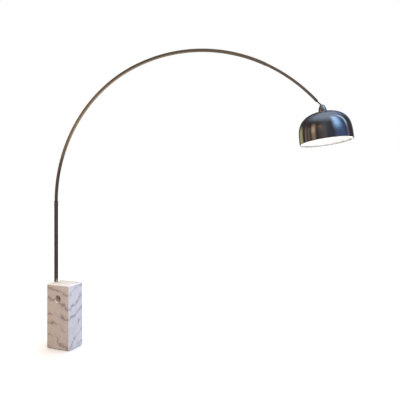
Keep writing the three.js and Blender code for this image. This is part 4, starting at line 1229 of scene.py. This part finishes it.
class ARCLAMP_OT_stage(bpy.types.Operator):
    """Plain pale floor, soft studio light and the camera"""

    bl_idname = "arclamp.stage"
    bl_label = "Stage"

    def execute(self, context):
        self.floor()
        self.light()
        self.camera()
        context.scene.view_settings.view_transform = "Standard"
        return {"FINISHED"}

    def floor(self):
        bm = bmesh.new()
        bmesh.ops.create_grid(bm, x_segments=8, y_segments=8, size=60.0)
        material, tree, shader = new_material("studio_floor")
        tint = tuple(colours().floor)
        speckle = noise(tree, object_place(tree), 1.5, 3.0)
        base = blend_colours(tree, speckle, tint, times(tint, 0.985))
        set_inputs(tree, shader, base_color=base, roughness=0.9, specular_ior_level=0.0)
        mesh = mesh_from(bm, "studio_floor", [material])
        floor = bpy.data.objects.new("studio_floor", mesh)
        bpy.context.scene.collection.objects.link(floor)
        floor.visible_diffuse = False
        floor.visible_glossy = False

    def light(self):
        world = bpy.data.worlds.new("studio")
        bpy.context.scene.world = world
        world.use_nodes = True
        tree = world.node_tree
        background = tree.nodes["Background"]
        way = tree.nodes.new("ShaderNodeTexCoord").outputs["Generated"]
        axes = add_node(tree, "ShaderNodeSeparateXYZ", {"Vector": way}).outputs
        soft = self.soft_light(tree, axes)
        seen = self.seen_in_metal(tree, axes)
        path = tree.nodes.new("ShaderNodeLightPath").outputs
        shown = blend_colours(tree, path["Is Glossy Ray"], soft, seen)
        shown = blend_colours(tree, path["Is Camera Ray"], shown, (1.0, 1.0, 1.0))
        tree.links.new(shown, background.inputs["Color"])

    def soft_light(self, tree, axes):
        """Light on matt faces: warm from the front, cool from the right, white from above."""
        total = (0.65, 0.60, 0.61)
        slopes = {"X": (0.18, 0.32, 0.60), "Y": (0.06, 0.215, 0.38), "Z": (0.92, 0.94, 0.90)}
        for axis, slope in slopes.items():
            part = vector_maths(tree, "SCALE", slope, scale=axes[axis])
            total = vector_maths(tree, "ADD", part, total)
        return vector_maths(tree, "MAXIMUM", total, (0.0, 0.0, 0.0))

    def seen_in_metal(self, tree, axes):
        """What polished metal mirrors: a dim room with soft upright panels, a ceiling and a pale floor."""
        front = maths(tree, "MULTIPLY", axes["Y"], -1.0)
        parts = {"azimuth": maths(tree, "ARCTAN2", axes["X"], front), "height": axes["Z"]}
        total = (0.072, 0.064, 0.062)
        # Azimuth, half width and soft edge in degrees; low and high sides with their softness; colour.
        for panel in (
            (58, 3, 27, 0.40, 0.16, 0.90, 0.10, (0.62, 1.10, 1.75)),
            (54, 4, 20, 0.05, 0.3, 0.5, 0.3, (0.02, 0.06, 0.18)),
            (84, 4, 14, 0.20, 0.4, 0.9, 0.1, (0.02, 0.15, 0.40)),
            (110, 1, 10, 0.42, 0.14, 0.9, 0.1, (0.85, 1.10, 1.50)),
            (110, 4, 8, -0.2, 0.1, 0.30, 0.16, (0.24, 0.22, 0.48)),
            (166, 6, 14, 0.22, 0.08, 0.9, 0.2, (0.08, 0.16, 0.32)),
            (-21, 2, 12, 0.30, 0.06, 0.42, 0.08, (0.13, 0.12, 0.07)),
            (-49, 2, 13, 0.10, 0.14, 0.40, 0.22, (0.90, 0.62, 0.40)),
            (-72, 2, 6, -0.2, 0.1, 0.32, 0.12, (0.20, 0.14, 0.10)),
            (-88, 2, 6, -0.2, 0.1, 0.32, 0.12, (0.26, 0.17, 0.12)),
            (-126, 8, 14, -0.3, 0.1, 0.26, 0.14, (0.56, 0.52, 0.22)),
            (-10, 4, 24, 0.14, 0.12, 0.50, 0.25, (0.13, 0.09, 0.075)),
            (8, 4, 30, 0.15, 0.15, 0.70, 0.2, (0.02, 0.04, 0.07)),
        ):
            total = vector_maths(tree, "ADD", panel_of_light(tree, parts, *panel), total)
        ceiling = smooth_step(tree, axes["Z"], 0.55, 1.0, 0.0, 0.5)
        pale_floor = smooth_step(tree, axes["Z"], -0.55, -0.28, 0.62, 0.0)
        for share, tint in ((ceiling, (0.72, 0.92, 1.2)), (pale_floor, (0.96, 0.84, 0.64))):
            total = vector_maths(tree, "ADD", vector_maths(tree, "SCALE", tint, scale=share), total)
        return total

    def camera(self):
        data = bpy.data.cameras.new("studio_camera")
        data.sensor_width = 36.0
        data.lens = 35.58
        data.clip_end = 200.0
        camera = bpy.data.objects.new("studio_camera", data)
        camera.location = (2.364, -2.759, 1.271)
        camera.rotation_euler = (math.radians(90), 0.0, math.radians(21.72))
        bpy.context.scene.collection.objects.link(camera)
        bpy.context.scene.camera = camera


# ---- Add-on ----


class ARCLAMP_PT_sidebar(bpy.types.Panel):
    """Sizes, colours and one button for each group of pieces"""

    bl_label = "Arc Lamp"
    bl_idname = "ARCLAMP_PT_sidebar"
    bl_space_type = "VIEW_3D"
    bl_region_type = "UI"
    bl_category = "Arc Lamp"

    def draw(self, context):
        for group in (sizes(), colours()):
            column = self.layout.column()
            for key in group.bl_rna.properties.keys():
                if key not in ("rna_type", "name"):
                    column.prop(group, key)
        for step in STEPS:
            self.layout.operator(step.bl_idname)


STEPS = [
    ARCLAMP_OT_foot, ARCLAMP_OT_mast, ARCLAMP_OT_screws, ARCLAMP_OT_mast_end, ARCLAMP_OT_shade,
    ARCLAMP_OT_lampholder, ARCLAMP_OT_finishes, ARCLAMP_OT_stage,
]
CLASSES = [ArcLampSizes, ArcLampColours, *STEPS, ARCLAMP_PT_sidebar]


def register():
    for item in CLASSES:
        bpy.utils.register_class(item)
    bpy.types.Scene.arc_lamp_sizes = PointerProperty(type=ArcLampSizes)
    bpy.types.Scene.arc_lamp_colours = PointerProperty(type=ArcLampColours)


def unregister():
    del bpy.types.Scene.arc_lamp_colours
    del bpy.types.Scene.arc_lamp_sizes
    for item in reversed(CLASSES):
        bpy.utils.unregister_class(item)


def main():
    register()
    for step in STEPS:
        group, name = step.bl_idname.split(".")
        getattr(getattr(bpy.ops, group), name)()
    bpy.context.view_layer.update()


if __name__ == "__main__":
    main()
